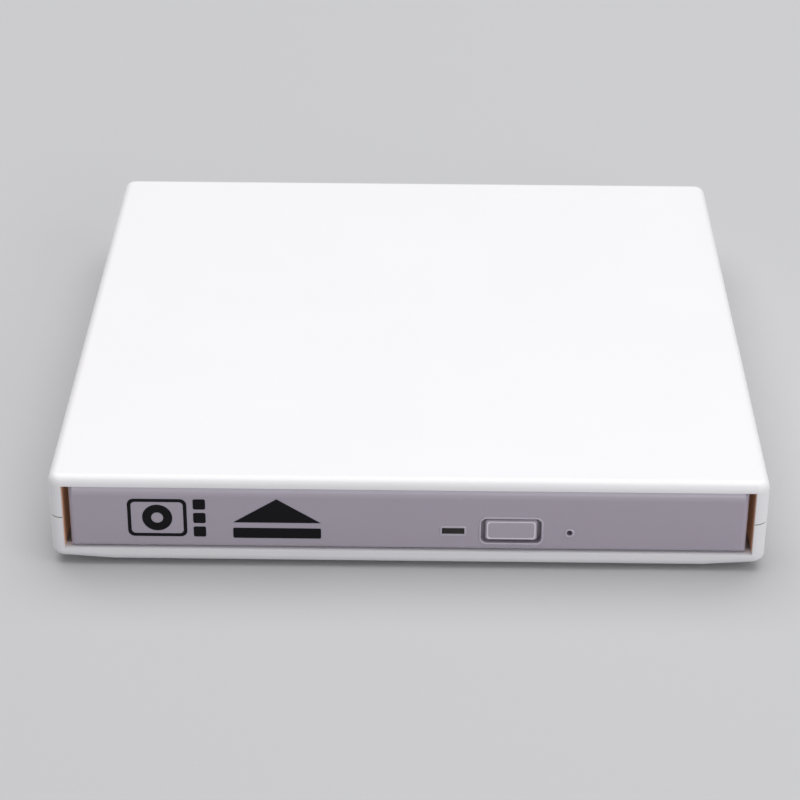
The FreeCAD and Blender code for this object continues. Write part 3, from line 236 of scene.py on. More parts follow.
def rubber(name, colour, rough=0.75):
    n = Nodes(name)
    varied(n, colour, 140, 0.06)
    n.link(n.spread(n.noise(300), rough * 0.9, rough * 1.15), n.shader.inputs["Roughness"])
    n.bump(n.noise(1800, 5), 0.5, 0.00002)
    n.shader.inputs["Specular IOR Level"].default_value = 0.35
    return n.material


def clear(name, colour, rough, ior=1.49):
    """Clear or smoked resin with slight flow marks."""
    n = Nodes(name)
    varied(n, colour, 200, 0.08)
    n.link(n.spread(n.noise(260), rough * 0.7, rough * 1.5), n.shader.inputs["Roughness"])
    n.shader.inputs["Transmission Weight"].default_value = 0.85
    n.shader.inputs["IOR"].default_value = ior
    n.bump(n.noise(400), 0.1, 0.00001)
    return n.material


def painted_glow_wall():
    """A painted warm glow: brownish plastic with a faint warm emission, standing in for white plastic that
    passes a little warm light from outside.
    """
    material = plastic("painted_glow_plastic", (0.80, 0.45, 0.28), 0.4, 1400, 0.000008, 0.05)
    shader = material.node_tree.nodes["Principled BSDF"]
    shader.inputs["Emission Color"].default_value = (1.0, 0.48, 0.28, 1)
    shader.inputs["Emission Strength"].default_value = 0.041
    return material


def painted_edge_highlight(name, low_colour, high_colour, low, high):
    """Plastic that grows lighter with height between two levels, as a painted highlight."""
    n = Nodes(name)
    split = n.tree.nodes.new("ShaderNodeSeparateXYZ")
    n.link(n.place, split.inputs["Vector"])
    height = n.spread(split.outputs["Z"], 0, 1, low, high)
    middle = tuple(a * 0.8 + b * 0.2 for a, b in zip(low_colour, high_colour))
    stops = [(0.0, low_colour), (0.5, middle), (1.0, high_colour)]
    n.link(n.ramp(height, stops), n.shader.inputs["Base Color"])
    n.link(n.spread(n.noise(220, 4), 0.31, 0.35), n.shader.inputs["Roughness"])
    n.bump(n.noise(1500, 4), 0.25, 0.000008)
    return n.material


def ribbon(name, film, wire):
    """A flat cable: pale film over a row of parallel conductors along its length."""
    n = Nodes(name)
    waves = n.node("ShaderNodeTexWave", Scale=160)
    waves.bands_direction = "X"
    n.link(n.place, waves.inputs["Vector"])
    line = n.spread(waves.outputs["Fac"], 0, 1, 0.35, 0.65)
    n.link(n.ramp(line, [(0.0, film), (1.0, wire)]), n.shader.inputs["Base Color"])
    n.link(n.spread(n.noise(300), 0.28, 0.42), n.shader.inputs["Roughness"])
    n.bump(line, 0.4, 0.00004)
    return n.material


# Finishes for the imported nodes


def make_finishes():
    white = (0.86, 0.85, 0.87)
    return {
        "shell": smooth_plastic("shell_white", white, 0.33),
        # Bezel and button: a grey about half as light as the shell's white, partly the plastic's own tone and
        # partly painted shade on their front faces.
        "bezel": plastic("bezel_grey_and_shade", (0.425, 0.385, 0.455), 0.33, 1500, 0.000008, 0.012, 0.10, 0.15),
        "button": plastic("button_grey_and_shade", (0.445, 0.405, 0.475), 0.30, 1500, 0.000006, 0.012, 0.12, 0.15),
        "foot": rubber("foot_rubber", (0.60, 0.60, 0.61)),
        "screw": metal("zinc_screw", (0.56, 0.56, 0.58), 0.28, (1, 1, 1), 1200),
        "board": circuit_board("green_board", (0.012, 0.10, 0.035)),
        "chip": plastic("chip_epoxy", (0.018, 0.018, 0.020), 0.55, 2200, 0.00001, 0.1),
        "parts": plastic("small_parts", (0.42, 0.36, 0.28), 0.45, 900, 0.00001, 0.25),
        "connector": plastic("connector_black", (0.02, 0.02, 0.021), 0.42, 1800, 0.00001, 0.08),
        "nickel": metal("nickel_plate", (0.74, 0.74, 0.76), 0.2, (1, 14, 1), 1000),
        "sheet": spangled_steel("galvanised_sheet", (0.42, 0.43, 0.44), 0.42),
        "rail": metal("rail_steel", (0.50, 0.50, 0.52), 0.32, (30, 1, 30), 900),
        "guide": plastic("guide_plastic", (0.74, 0.72, 0.66), 0.4, 1300, 0.00001, 0.03),
        "tray": plastic("tray_black", (0.022, 0.022, 0.024), 0.48, 2400, 0.000014, 0.08),
        "smoked": clear("smoked_window", (0.055, 0.028, 0.018), 0.12),
        "resin": clear("lamp_resin", (0.75, 0.85, 0.70), 0.1),
        "damper": rubber("damper_rubber", (0.03, 0.03, 0.032), 0.6),
        "rod": metal("ground_rod", (0.72, 0.72, 0.73), 0.14, (1, 1, 1), 1400, 0.000003),
        "motor": metal("motor_steel", (0.50, 0.50, 0.52), 0.3, (1, 1, 1), 1100),
        "hub": plastic("hub_black", (0.03, 0.03, 0.033), 0.32, 1800, 0.000008, 0.05, 0.1),
        "pad": rubber("pad_rubber", (0.10, 0.10, 0.11), 0.7),
        "sled": metal("die_cast", (0.46, 0.46, 0.47), 0.46, (1, 1, 1), 700, 0.00002, 0.05),
        "film": plastic("black_film", (0.025, 0.025, 0.028), 0.38, 1500, 0.000006, 0.05),
        "lens": clear("coated_lens", (0.55, 0.62, 0.85), 0.03, 1.6),
        "coil": metal("wound_copper", (0.62, 0.28, 0.12), 0.32, (1, 60, 60), 700, 0.00003),
        "plunger": metal("turned_steel", (0.55, 0.55, 0.57), 0.25, (30, 1, 1), 900),
        "cable": plastic("flat_cable_film", (0.62, 0.60, 0.50), 0.36, 1200, 0.000006, 0.04),
        "print": smooth_plastic("black_print", (0.004, 0.004, 0.006), 0.5, 1.25),
        "gold": metal("gold_contact", (0.80, 0.58, 0.22), 0.25, (1, 12, 1), 900),
        "amber": plastic("amber_film", (0.50, 0.20, 0.03), 0.28, 1200, 0.000006, 0.08, 0.3),
        # painted glow: warm emission standing in for light coming through the wall
        "painted_glow": painted_glow_wall(),
        # rim: lighter than the bezel, a painted highlight on the rims round the openings
        "rim": plastic("rim_painted_highlight", (0.52, 0.48, 0.55), 0.28, 1500, 0.000006, 0.01, 0.15, 0.15),
        # edge: near white, a painted highlight for the ring on the button's rounded edge
        "edge": plastic("button_edge_painted_highlight", (0.80, 0.76, 0.84), 0.28, 1500, 0.000006, 0.01, 0.15, 0.15),
        # painted highlight on the bezel's rounded top edge, from the bezel's grey up to near white
        "painted_highlight": painted_edge_highlight("bezel_edge_painted_highlight", (0.425, 0.385, 0.455), (0.80, 0.76, 0.84), 0.0155, 0.0174),
        "seam": plastic("seam_shadow", (0.16, 0.15, 0.16), 0.6, 1400, 0.000006, 0.04),
        "label": plastic("blank_label", (0.66, 0.66, 0.67), 0.3, 1600, 0.000004, 0.01),
        "ribbon": ribbon("ribbon_film", (0.70, 0.68, 0.60), (0.30, 0.27, 0.22)),
    }


FINISH_NODES = {
    "shell": "top_shell bottom_shell",
    "bezel": "front_bezel",
    "button": "eject_button",
    "foot": "feet",
    "screw": "case_screws drive_screws cover_screws damper_screws",
    "board": "bridge_board main_board tray_board",
    "chip": "bridge_chip main_chips eject_switch",
    "parts": "bridge_components",
    "connector": "bridge_connector drive_connector usb_socket_tongue dc_socket",
    "nickel": "usb_socket_shell dc_socket_pin",
    "sheet": "drive_base drive_cover tray_bottom_cover mechanism_frame spindle_base screw_bracket latch_post",
    "rail": "left_rail right_rail",
    "guide": "left_guide right_guide",
    "tray": "tray",
    "smoked": "led_lens",
    "resin": "status_led",
    "damper": "dampers",
    "rod": "front_guide_rod rear_guide_rod clamp_balls lead_screw",
    "motor": "rotor feed_motor",
    "hub": "turntable_hub latch_lever feed_tooth",
    "pad": "disc_pad",
    "sled": "sled",
    "film": "lens_cover lens_holder",
    "lens": "objective_lens",
    "coil": "solenoid",
    "plunger": "solenoid_plunger latch_spring",
    "cable": "flat_cable",
}
ROUNDED = {"top_shell": 0.18, "bottom_shell": 0.18, "front_bezel": 0.14, "eject_button": 0.10, "tray": 0.12,
           "sled": 0.15, "turntable_hub": 0.10, "rotor": 0.12, "dc_socket": 0.10}


def finish_nodes(finishes):
    """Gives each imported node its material, and the moulded ones a small edge radius."""
    for finish, names in FINISH_NODES.items():
        for name in names.split():
            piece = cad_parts[name]
            piece.data.materials.clear()
            piece.data.materials.append(finishes[finish])
            if name in ROUNDED:
                soften(piece, ROUNDED[name])


def soften(piece, radius):
    bevel = piece.modifiers.new("edge_radius", "BEVEL")
    bevel.width = radius * MM
    bevel.segments = 3
    bevel.limit_method = "ANGLE"
    bevel.angle_limit = math.radians(40)
    bevel.harden_normals = False


# Mesh building, in millimetres, in the frame of the case, of the drive or of the turned pickup mechanism

CASE = Matrix.Translation((0, 0, 1.0))
DRIVE = Matrix.Translation((0, 0, 4.4))
MECHANISM = Matrix.Translation((0, -4.4, 4.4)) @ Matrix.Rotation(math.radians(-45), 4, "Z")


def circle(x, y, radius, steps=40):
    return [(x + radius * math.cos(math.tau * i / steps), y + radius * math.sin(math.tau * i / steps))
            for i in range(steps)]


def arc(x, y, radius, start, end, steps=12):
    angles = [math.radians(start + (end - start) * i / steps) for i in range(steps + 1)]
    return [(x + radius * math.cos(a), y + radius * math.sin(a)) for a in angles]


def rectangle(x0, x1, y0, y1):
    return [(x0, y0), (x1, y0), (x1, y1), (x0, y1)]


def rounded(x0, x1, y0, y1, radius, steps=6):
    r = radius
    return (arc(x1 - r, y0 + r, r, -90, 0, steps) + arc(x1 - r, y1 - r, r, 0, 90, steps)
            + arc(x0 + r, y1 - r, r, 90, 180, steps) + arc(x0 + r, y0 + r, r, 180, 270, steps))


class Form:
    """A mesh under construction."""

    def __init__(self, place=CASE):
        self.mesh = bmesh.new()
        self.place = place

    def loop(self, outline, level, axis):
        spots = {"X": lambda u, v: (level, u, v), "Y": lambda u, v: (u, level, v),
                 "Z": lambda u, v: (u, v, level)}
        return [self.mesh.verts.new(spots[axis](u, v)) for u, v in outline]

    def skin(self, rings, around=True, along=False):
        """Quads between rings of vertices that follow each other."""
        pairs = list(zip(rings, rings[1:])) + ([(rings[-1], rings[0])] if along else [])
        for a, b in pairs:
            count = len(a)
            for i in range(count if around else count - 1):
                j = (i + 1) % count
                self.mesh.faces.new((a[i], a[j], b[j], b[i]))
        return self

    def prism(self, outline, low, high, axis="Z"):
        rings = [self.loop(outline, level, axis) for level in (low, high)]
        self.skin(rings)
        for ring in rings:
            self.mesh.faces.new(ring)
        return self

    def taper(self, stages, axis="Z"):
        """A stack of outlines with the same number of points, each at its level."""
        rings = [self.loop(outline, level, axis) for outline, level in stages]
        self.skin(rings)
        for ring in (rings[0], rings[-1]):
            self.mesh.faces.new(ring)
        return self

    def frame(self, outer, inner, low, high, axis="Z"):
        """A hollow prism between two outlines with the same number of points."""
        stages = ((outer, low), (outer, high), (inner, high), (inner, low))
        return self.skin([self.loop(outline, level, axis) for outline, level in stages], along=True)

    def box(self, x0, x1, y0, y1, z0, z1):
        return self.prism(rectangle(x0, x1, y0, y1), z0, z1)

    def disc(self, x, y, radius, low, high, axis="Z", steps=40):
        return self.prism(circle(x, y, radius, steps), low, high, axis)

    def lathe(self, profile, x, y, axis="Z", steps=64):
        """A closed profile of radius and level turned about an axis through a point."""
        rings = [self.loop(circle(x, y, max(radius, 0.001), steps), level, axis) for radius, level in profile]
        return self.skin(rings, along=True)

    def tube(self, path, radius, steps):
        """A round bar along a path of points."""
        points = [Vector(p) for p in path]
        rings = []
        for i, point in enumerate(points):
            ahead = (points[min(i + 1, len(points) - 1)] - points[max(i - 1, 0)]).normalized()
            side = ahead.cross(Vector((0, 0, 1)) if abs(ahead.z) < 0.9 else Vector((1, 0, 0))).normalized()
            rise = side.cross(ahead)
            rings.append([self.mesh.verts.new(point + radius * (math.cos(math.tau * k / steps) * side
                                                                + math.sin(math.tau * k / steps) * rise))
                          for k in range(steps)])
        self.skin(rings)
        for ring in (rings[0], rings[-1]):
            self.mesh.faces.new(ring)
        return self

    def ribbon(self, path, low, high, thickness, axis="X"):
        """A flat strip along a path in the plane across the axis, from low to high along it."""
        left, right = [], []
        for i, (u, v) in enumerate(path):
            au, av = path[max(i - 1, 0)]
            bu, bv = path[min(i + 1, len(path) - 1)]
            length = math.hypot(bu - au, bv - av) or 1
            nu, nv = -(bv - av) / length * thickness / 2, (bu - au) / length * thickness / 2
            left.append((u + nu, v + nv))
            right.append((u - nu, v - nv))
        return self.prism(left + right[::-1], low, high, axis)

    def piece(self, name, material, body, edge=0.0, stands_for=()):
        """Ends the mesh as an object that rides on a body, with a small radius on its sharp edges."""
        bmesh.ops.transform(self.mesh, matrix=Matrix.Scale(MM, 4) @ self.place, verts=self.mesh.verts)
        bmesh.ops.recalc_face_normals(self.mesh, faces=self.mesh.faces)
        data = bpy.data.meshes.new(name)
        self.mesh.to_mesh(data)
        self.mesh.free()
        for face in data.polygons:
            face.use_smooth = True
        data.set_sharp_from_angle(angle=math.radians(35))
        data.materials.append(material)
        made = bpy.data.objects.new(name, data)
        bpy.context.scene.collection.objects.link(made)
        if edge:
            soften(made, edge)
        if body:
            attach(made, body)
        if stands_for:
            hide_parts(*stands_for)
        return made


# Printed pictograms on the tray's front

PRINT_LOW = -68.72
PRINT_HIGH = -68.6

# The front edge of the tray's front: the middle of its rounding, and the levels of the rims that stand on it

EDGE_Y = -67.7
EDGE_Z = 15.4
RIM_FRONT = -68.86
RIM_INNER = -68.74
RIM_OUTER = -68.7
RIM_FOOT = -68.6
LAMP_WINDOW = (6.5, 10.8, 6.8, 8.15, 0.12)
BUTTON_OPENING = (14.0, 25.6, 4.9, 10.3, 1.1)


def front_marks(finish):
    """A disc in a frame with plain bars, and an eject sign, in black print."""
    marks = Form(CASE)
    marks.frame(rounded(-53.8, -42.4, 5.6, 14.0, 1.3), rounded(-53.1, -43.1, 6.3, 13.3, 0.8),
                PRINT_LOW, PRINT_HIGH, "Y")
    marks.frame(circle(-48.1, 9.8, 2.9, 48), circle(-48.1, 9.8, 1.15, 48), PRINT_LOW, PRINT_HIGH, "Y")
    for low, high in ((5.6, 7.9), (8.65, 10.95), (11.7, 14.0)):
        marks.prism(rounded(-41.2, -38.8, low, high, 0.35, 3), PRINT_LOW, PRINT_HIGH, "Y")
    marks.prism([(-33.6, 8.9), (-16.7, 8.9), (-25.15, 14.2)], PRINT_LOW, PRINT_HIGH, "Y")
    marks.prism(rounded(-33.6, -16.7, 5.4, 7.7, 0.3, 3), PRINT_LOW, PRINT_HIGH, "Y")
    marks.piece("front_marks", finish["print"], "tray")


def opening_painted_glow(finish):
    """Thin strips on the inner sides of the opening, with a painted warm glow that stands in for light coming
    through the wall.
    """
    for name, side in (("left_painted_glow", -1), ("right_painted_glow", 1)):
        strip = Form(CASE)
        near, far = sorted((side * 66.17, side * 66.25))
        strip.box(near, far, -68.3, -58.0, 3.1, 16.6)
        strip.piece(name, finish["painted_glow"], "case")


def front_rims(finish):
    """The raised rims round the lamp window, the button and the pinhole, coloured lighter than the bezel as a
    painted highlight on their rounded edges, and the button's edge ring, a brighter painted highlight.
    """
    rims = Form(CASE)

    def rim(outlines):
        levels = (RIM_FOOT, RIM_INNER, RIM_FRONT, RIM_FRONT, RIM_OUTER, RIM_FOOT)
        order = (outlines[0], outlines[0], outlines[1], outlines[2], outlines[3], outlines[3])
        rims.skin([rims.loop(outline, level, "Y") for outline, level in zip(order, levels)], along=True)

    for x0, x1, z0, z1, r in (LAMP_WINDOW, BUTTON_OPENING):
        rim([rounded(x0 - d, x1 + d, z0 - d, z1 + d, r + d, 8) for d in (0.0, 0.1, 0.28, 0.42)])
    rim([circle(31, 7.26, radius, 32) for radius in (0.55, 0.66, 0.82, 0.98)])
    rims.piece("front_rims", finish["rim"], "tray")
    # A bright ring on the button's rounded edge, a painted highlight.
    cap = Form(CASE)
    rings = [rounded(14.8 + d, 24.8 - d, 5.45 + d, 10.0 - d, 0.6, 8) for d in (0.24, 0.34, 0.56, 0.66)]
    levels = (RIM_FOOT, -68.73, -68.73, RIM_FOOT)
    cap.skin([cap.loop(outline, level, "Y") for outline, level in zip(rings, levels)], along=True)
    cap.piece("button_painted_highlight_ring", finish["edge"], "eject_button")


def bezel_painted_highlight(finish):
    """A painted highlight: a band over the rounded upper edge of the tray's front, lighter upward."""
    strip = Form(CASE)
    outer, inner = ([(EDGE_Y - radius, EDGE_Z - 0.9)] + arc(EDGE_Y, EDGE_Z, radius, 180, 105, 10)
                    for radius in (1.02, 0.9))
    strip.prism(outer + inner[::-1], -64.2, 64.2, "X")
    strip.piece("bezel_painted_highlight", finish["painted_highlight"], "tray")


SEAM_LOW = 9.6
SEAM_HIGH = 9.72
SEAM_END = 66.32


def seam_line(finish):
    """A painted shadow: a dark strip at the bottom of the groove where the two shells meet, from one front
    corner round to the other.
    """

    def path(inset):
        side, back, r = 68.9 - inset, 69 - inset, 2.5 - inset
        return ([(SEAM_END, -back)] + arc(side - r, r - back, r, -90, 0, 8)
                + arc(side - r, back - r, r, 0, 90, 8) + arc(r - side, back - r, r, 90, 180, 8)
                + arc(r - side, r - back, r, 180, 270, 8) + [(-SEAM_END, -back)])

    line = Form(CASE)
    rings = []
    for (x, y), (u, v) in zip(path(0.12), path(0.5)):
        corners = ((x, y, SEAM_LOW), (x, y, SEAM_HIGH), (u, v, SEAM_HIGH), (u, v, SEAM_LOW))
        rings.append([line.mesh.verts.new(corner) for corner in corners])
    line.skin(rings)
    for ring in (rings[0], rings[-1]):
        line.mesh.faces.new(ring)
    line.piece("seam_line", finish["seam"], "case")


# The disc well and the tray's deck


DISC_Y = -4.4
DECK = 9.96
SUNK = 8.56


def disc_well(finish):
    """The well's ledge, rim and rests, the lip of the pickup's window and the marks on the deck."""
    reach, inner, outer = 24.6, 40.6, 60.2
    near = math.degrees(math.asin(reach / outer))
    deep = math.degrees(math.asin(reach / inner))
    ledge = Form(MECHANISM)
    far_side = arc(0, 0, outer, near - 90, 270 - near, 96)
    near_side = arc(0, 0, inner, 270 - deep, deep - 90, 72)
    ledge.prism(far_side + near_side, SUNK - 0.01, SUNK + 0.28)
    ledge.piece("well_ledge", finish["tray"], "tray", 0.08)
    rim = Form(DRIVE)
    rim_outer = arc(0, DISC_Y, 61.15, 109.5, 419, 128)
    rim_inner = arc(0, DISC_Y, 60.72, 419, 109.5, 128)
    rim.prism(rim_outer + rim_inner, DECK - 0.01, DECK + 0.17)
    rim.piece("well_rim", finish["tray"], "tray", 0.05)
    pads = Form(MECHANISM)
    for turn in (10, 80, 130, 190, 215):
        first, last = turn - 2.2, turn + 2.2
        pads.prism(arc(0, 0, 59.6, first, last, 5) + arc(0, 0, 57.8, last, first, 5), 8.8, 8.96)
    pads.piece("well_pads", finish["tray"], "tray", 0.04)
    lip = Form(MECHANISM)
    shape = [(-24, 20), (-24, -54), (-12, -54), (-12, -56.5), (12, -56.5), (12, -54), (24, -54), (24, 20)]
    wide = [(-24.9, 20.9), (-24.9, -54.2), (-12.9, -54.2), (-12.9, -57.1), (12.9, -57.1), (12.9, -54.2),
            (24.9, -54.2), (24.9, 20.9)]
    lip.frame(wide, shape, SUNK, SUNK + 0.16)
    lip.piece("window_lip", finish["tray"], "tray", 0.05)
    marks = Form(DRIVE)
    for x, y in ((-55, -58), (55, -58), (-56, 44), (22, -64.6), (-22, -64.6), (57.5, 40)):
        marks.frame(circle(x, y, 1.5, 24), circle(x, y, 1.25, 24), DECK, DECK + 0.08)
    for x in (-1, 1):
        for i in range(4):
            y = -62.5 + i * 1.6
            left, right = sorted((x * 40, x * (52 - i * 1.8)))
            marks.prism(rounded(left, right, y, y + 0.5, 0.2, 3), DECK, DECK + 0.12)
    marks.piece("deck_marks", finish["tray"], "tray")


# The turntable and its spindle


def turntable(finish):
    """The hub's ribs and tip, the rings of the disc pad and the beads of the rotor."""
    ribs = Form(MECHANISM)
    for i in range(12):
        turn = math.tau * i / 12
        c, s = math.cos(turn), math.sin(turn)
        quad = [(2.9, -0.22), (6.1, -0.3), (6.1, 0.3), (2.9, 0.22)]
        ribs.prism([(x * c - y * s, x * s + y * c) for x, y in quad], 11.25, 11.42)
    ribs.frame(circle(0, 0, 2.75, 40), circle(0, 0, 2.1, 40), 11.25, 11.45)
    ribs.frame(circle(0, 0, 6.7, 56), circle(0, 0, 6.25, 56), 11.25, 11.4)
    for turn in (30, 150, 270):
        c, s = math.cos(math.radians(turn)), math.sin(math.radians(turn))

        def around(points):
            return [(x * c - y * s, x * s + y * c) for x, y in points]

        ribs.taper(((around([(6.9, -1.5), (7.56, -1.5), (7.56, 1.5), (6.9, 1.5)]), 9.4),
                    (around([(6.9, -1.4), (7.66, -1.4), (7.66, 1.4), (6.9, 1.4)]), 10.2),
                    (around([(6.8, -1.2), (7.1, -1.2), (7.1, 1.2), (6.8, 1.2)]), 11.1)))
    ribs.piece("hub_ribs", finish["hub"], "turntable", 0.04)
    tip = Form(MECHANISM)
    tip.lathe([(0, 10.4), (1.7, 10.4), (1.7, 11.1), (1.45, 11.32), (0.5, 11.32), (0.35, 11.2), (0, 11.2)],
              0, 0)
    tip.piece("spindle_tip", finish["rod"], "turntable")
    rings = Form(MECHANISM)
    for radius in (9.9, 10.7, 11.5, 12.3):
        rings.frame(circle(0, 0, radius + 0.2, 72), circle(0, 0, radius, 72), 9.0, 9.09)
    rings.piece("pad_rings", finish["pad"], "turntable")
    groove = Form(MECHANISM)
    for level in (5.4, 7.2):
        groove.frame(circle(0, 0, 12.58, 72), circle(0, 0, 12.4, 72), level, level + 0.18)
    groove.piece("rotor_beads", finish["motor"], "turntable")


# The screw, the motor and the rods


SCREW_X = -27.5
SCREW_Z = 5.9
ROD_X = 19.5


def lead_screw(finish):
    """A screw with a three-millimetre lead, and its two journals."""
    steps, pitch = 28, 3.0
    x, z, start, end = SCREW_X, SCREW_Z, -44.7, -5.3
    screw = Form(MECHANISM)
    rings = []
    count = 400
    for i in range(count + 1):
        y = start + (end - start) * i / count
        ring = []
        for k in range(steps):
            turn = math.tau * k / steps
            phase = (2 * y / pitch - k / steps) % 1
            radius = 1.02 + 0.26 * max(0.0, 1 - abs(phase - 0.5) * 3.6)
            ring.append(screw.mesh.verts.new((x + radius * math.cos(turn), y, z + radius * math.sin(turn))))
        rings.append(ring)
    screw.skin(rings)
    for ring in (rings[0], rings[-1]):
        screw.mesh.faces.new(ring)
    screw.disc(x, z, 0.49, -45.6, start + 0.05, "Y", 24)
    screw.disc(x, z, 0.49, end - 0.05, -4.25, "Y", 24)
    screw.piece("lead_screw_thread", finish["rod"], "lead_screw", stands_for=("lead_screw",))


def motor_details(finish):
    """The motor's end cap and bands, and the clips that hold the guide rods."""
    x, z = SCREW_X, SCREW_Z
    cap = Form(MECHANISM)
    cap.lathe([(0, 6.95), (1.85, 6.95), (1.85, 7.12), (1.6, 7.18), (0.9, 7.18), (0.8, 7.1), (0, 7.1)],
              x, z, "Y")
    cap.piece("motor_cap", finish["connector"], "tray")
    band = Form(MECHANISM)
    for y in (-4.4, 5.8):
        band.frame(circle(x, z, 2.17, 40), circle(x, z, 2.0, 40), y, y + 0.3, "Y")
    band.disc(x, z, 0.95, -5.06, -4.9, "Y", 28)
    band.piece("motor_bands", finish["nickel"], "tray")
    clips = Form(MECHANISM)
    for side in (-1, 1):
        middle = side * ROD_X
        over = [(middle + side * math.cos(math.radians(a)) * -1.27, 5.9 + math.sin(math.radians(a)) * 1.27)
                for a in range(0, 181, 15)]
        foot = [(middle + side * reach, level) for reach, level in ((1.27, 4.6), (1.6, 4.42), (4.0, 4.42))]
        path = [(middle - side * 1.27, 4.6)] + over + foot
        clips.ribbon(path, 4.5, 7.5, 0.22, "Y")
    clips.piece("rod_clips", finish["nickel"], "tray", 0.03)


def cross_screws(name, finish, body, place, spots, radius=1.2, rise=0.5):
    """Small pan-head screws whose cross recess is painted shade, at places given as x, y and the level under
    the head.
    """
    heads = Form(place)
    dark = Form(place)
    for x, y, level in spots:
        heads.lathe([(0, level), (radius, level), (radius, level + rise * 0.5),
                     (radius * 0.8, level + rise * 0.85), (radius * 0.45, level + rise), (0, level + rise)],
                    x, y, steps=28)
        # Dark bars laid on the head, not a cut recess: the cross's painted shade.
        for across, along in ((radius * 0.62, radius * 0.13), (radius * 0.13, radius * 0.62)):
            dark.box(x - across, x + across, y - along, y + along, level + rise * 0.6, level + rise + 0.012)
    heads.piece(f"{name}_heads", finish["screw"], body)
    dark.piece(f"{name}_cross_shade", finish["chip"], body)


# The pickup


LENS_Y = -23


def pickup(finish):
    """What shows on the sled: the lens with its coils and wires, the cover's ribs, the flex and its parts."""
    y = LENS_Y
    coils = Form(MECHANISM)
    for near in (y - 4.55, y + 4.1):
        coils.frame(rounded(-3.4, 3.4, 5.6, 7.8, 1.0), rounded(-2.3, 2.3, 6.3, 7.1, 0.35),
                    near + 0.9, near + 1.3, "Y")
    coils.piece("lens_coils", finish["coil"], "pickup", 0.03)
    magnets = Form(MECHANISM)
    magnets.box(-3.0, 3.0, y + 4.15, y + 4.75, 5.3, 7.9)
    magnets.piece("lens_magnets", finish["nickel"], "pickup", 0.08)
    wires = Form(MECHANISM)
    for side in (-1, 1):
        for level in (7.9, 8.02):
            path = [(side * 3.7, y + 1 + level - 8, level), (side * 4.5, y + 5.2, level),
                    (side * 4.6, y + 8, level - 0.12)]
            wires.tube(path, 0.06, 8)
    wires.piece("lens_wires", finish["gold"], "pickup")
    glass = Form(MECHANISM)
    dome = [(2.1 * math.cos(math.radians(a)), 7.98 + 0.42 * math.sin(math.radians(a)))
            for a in range(0, 91, 10)]
    glass.lathe([(0, 7.9), (2.1, 7.9)] + dome, 0, y, steps=56)
    glass.piece("lens_glass", finish["lens"], "pickup", stands_for=("objective_lens",))
    ring = Form(MECHANISM)
    ring.frame(circle(0, y, 2.7, 56), circle(0, y, 2.15, 56), 7.95, 8.28)
    ring.piece("lens_ring", finish["hub"], "pickup", 0.06)
    cover = Form(MECHANISM)
    for x in (-6.8, -6.0, 6.0, 6.8):
        cover.prism(rounded(x - 0.16, x + 0.16, y - 3.6, y + 7.6, 0.12, 3), 7.75, 7.92)
    cover.frame(rounded(-5.2, 5.2, y - 4.35, y + 4.9, 1.0), rounded(-4.6, 4.6, y - 4.0, y + 4.5, 0.7),
                7.75, 7.95)
    cover.piece("cover_ribs", finish["film"], "pickup", 0.04)
    flex = Form(MECHANISM)
    flex.prism([(-9.6, y + 9.1), (9.6, y + 9.1), (9.6, y + 5.6), (12.9, y + 5.6), (12.9, y + 9.3),
                (-12.9, y + 9.3), (-12.9, y + 7.0), (-9.6, y + 7.0)], 7.48, 7.6)
    flex.piece("pickup_flex", finish["amber"], "pickup")
    parts = Form(MECHANISM)
    for x, v in ((-15.4, 7.6), (-17.4, 7.6), (15.2, 11.2), (15.2, 9.2), (17.6, 11.6)):
        parts.box(x - 0.5, x + 0.5, y + v - 0.3, y + v + 0.3, 7.48, 7.86)
    parts.piece("pickup_parts", finish["parts"], "pickup", 0.05)
    pot = Form(MECHANISM)
    pot.lathe([(0, 7.45), (1.1, 7.45), (1.1, 8.0), (0.7, 8.1), (0, 8.1)], -17.2, y + 11, steps=32)
    pot.piece("pickup_trimmer", finish["nickel"], "pickup")
    cross_screws("pickup_screws", finish, "pickup", MECHANISM,
                 [(-8.0, y + 7.9, 7.6), (8.0, y + 7.9, 7.6)], 0.75, 0.35)


# Boards, sockets and the underside


USB_X = 38
FOOT_X = 52.5
FOOT_Y = 52.6
LABEL_FACE = -0.065


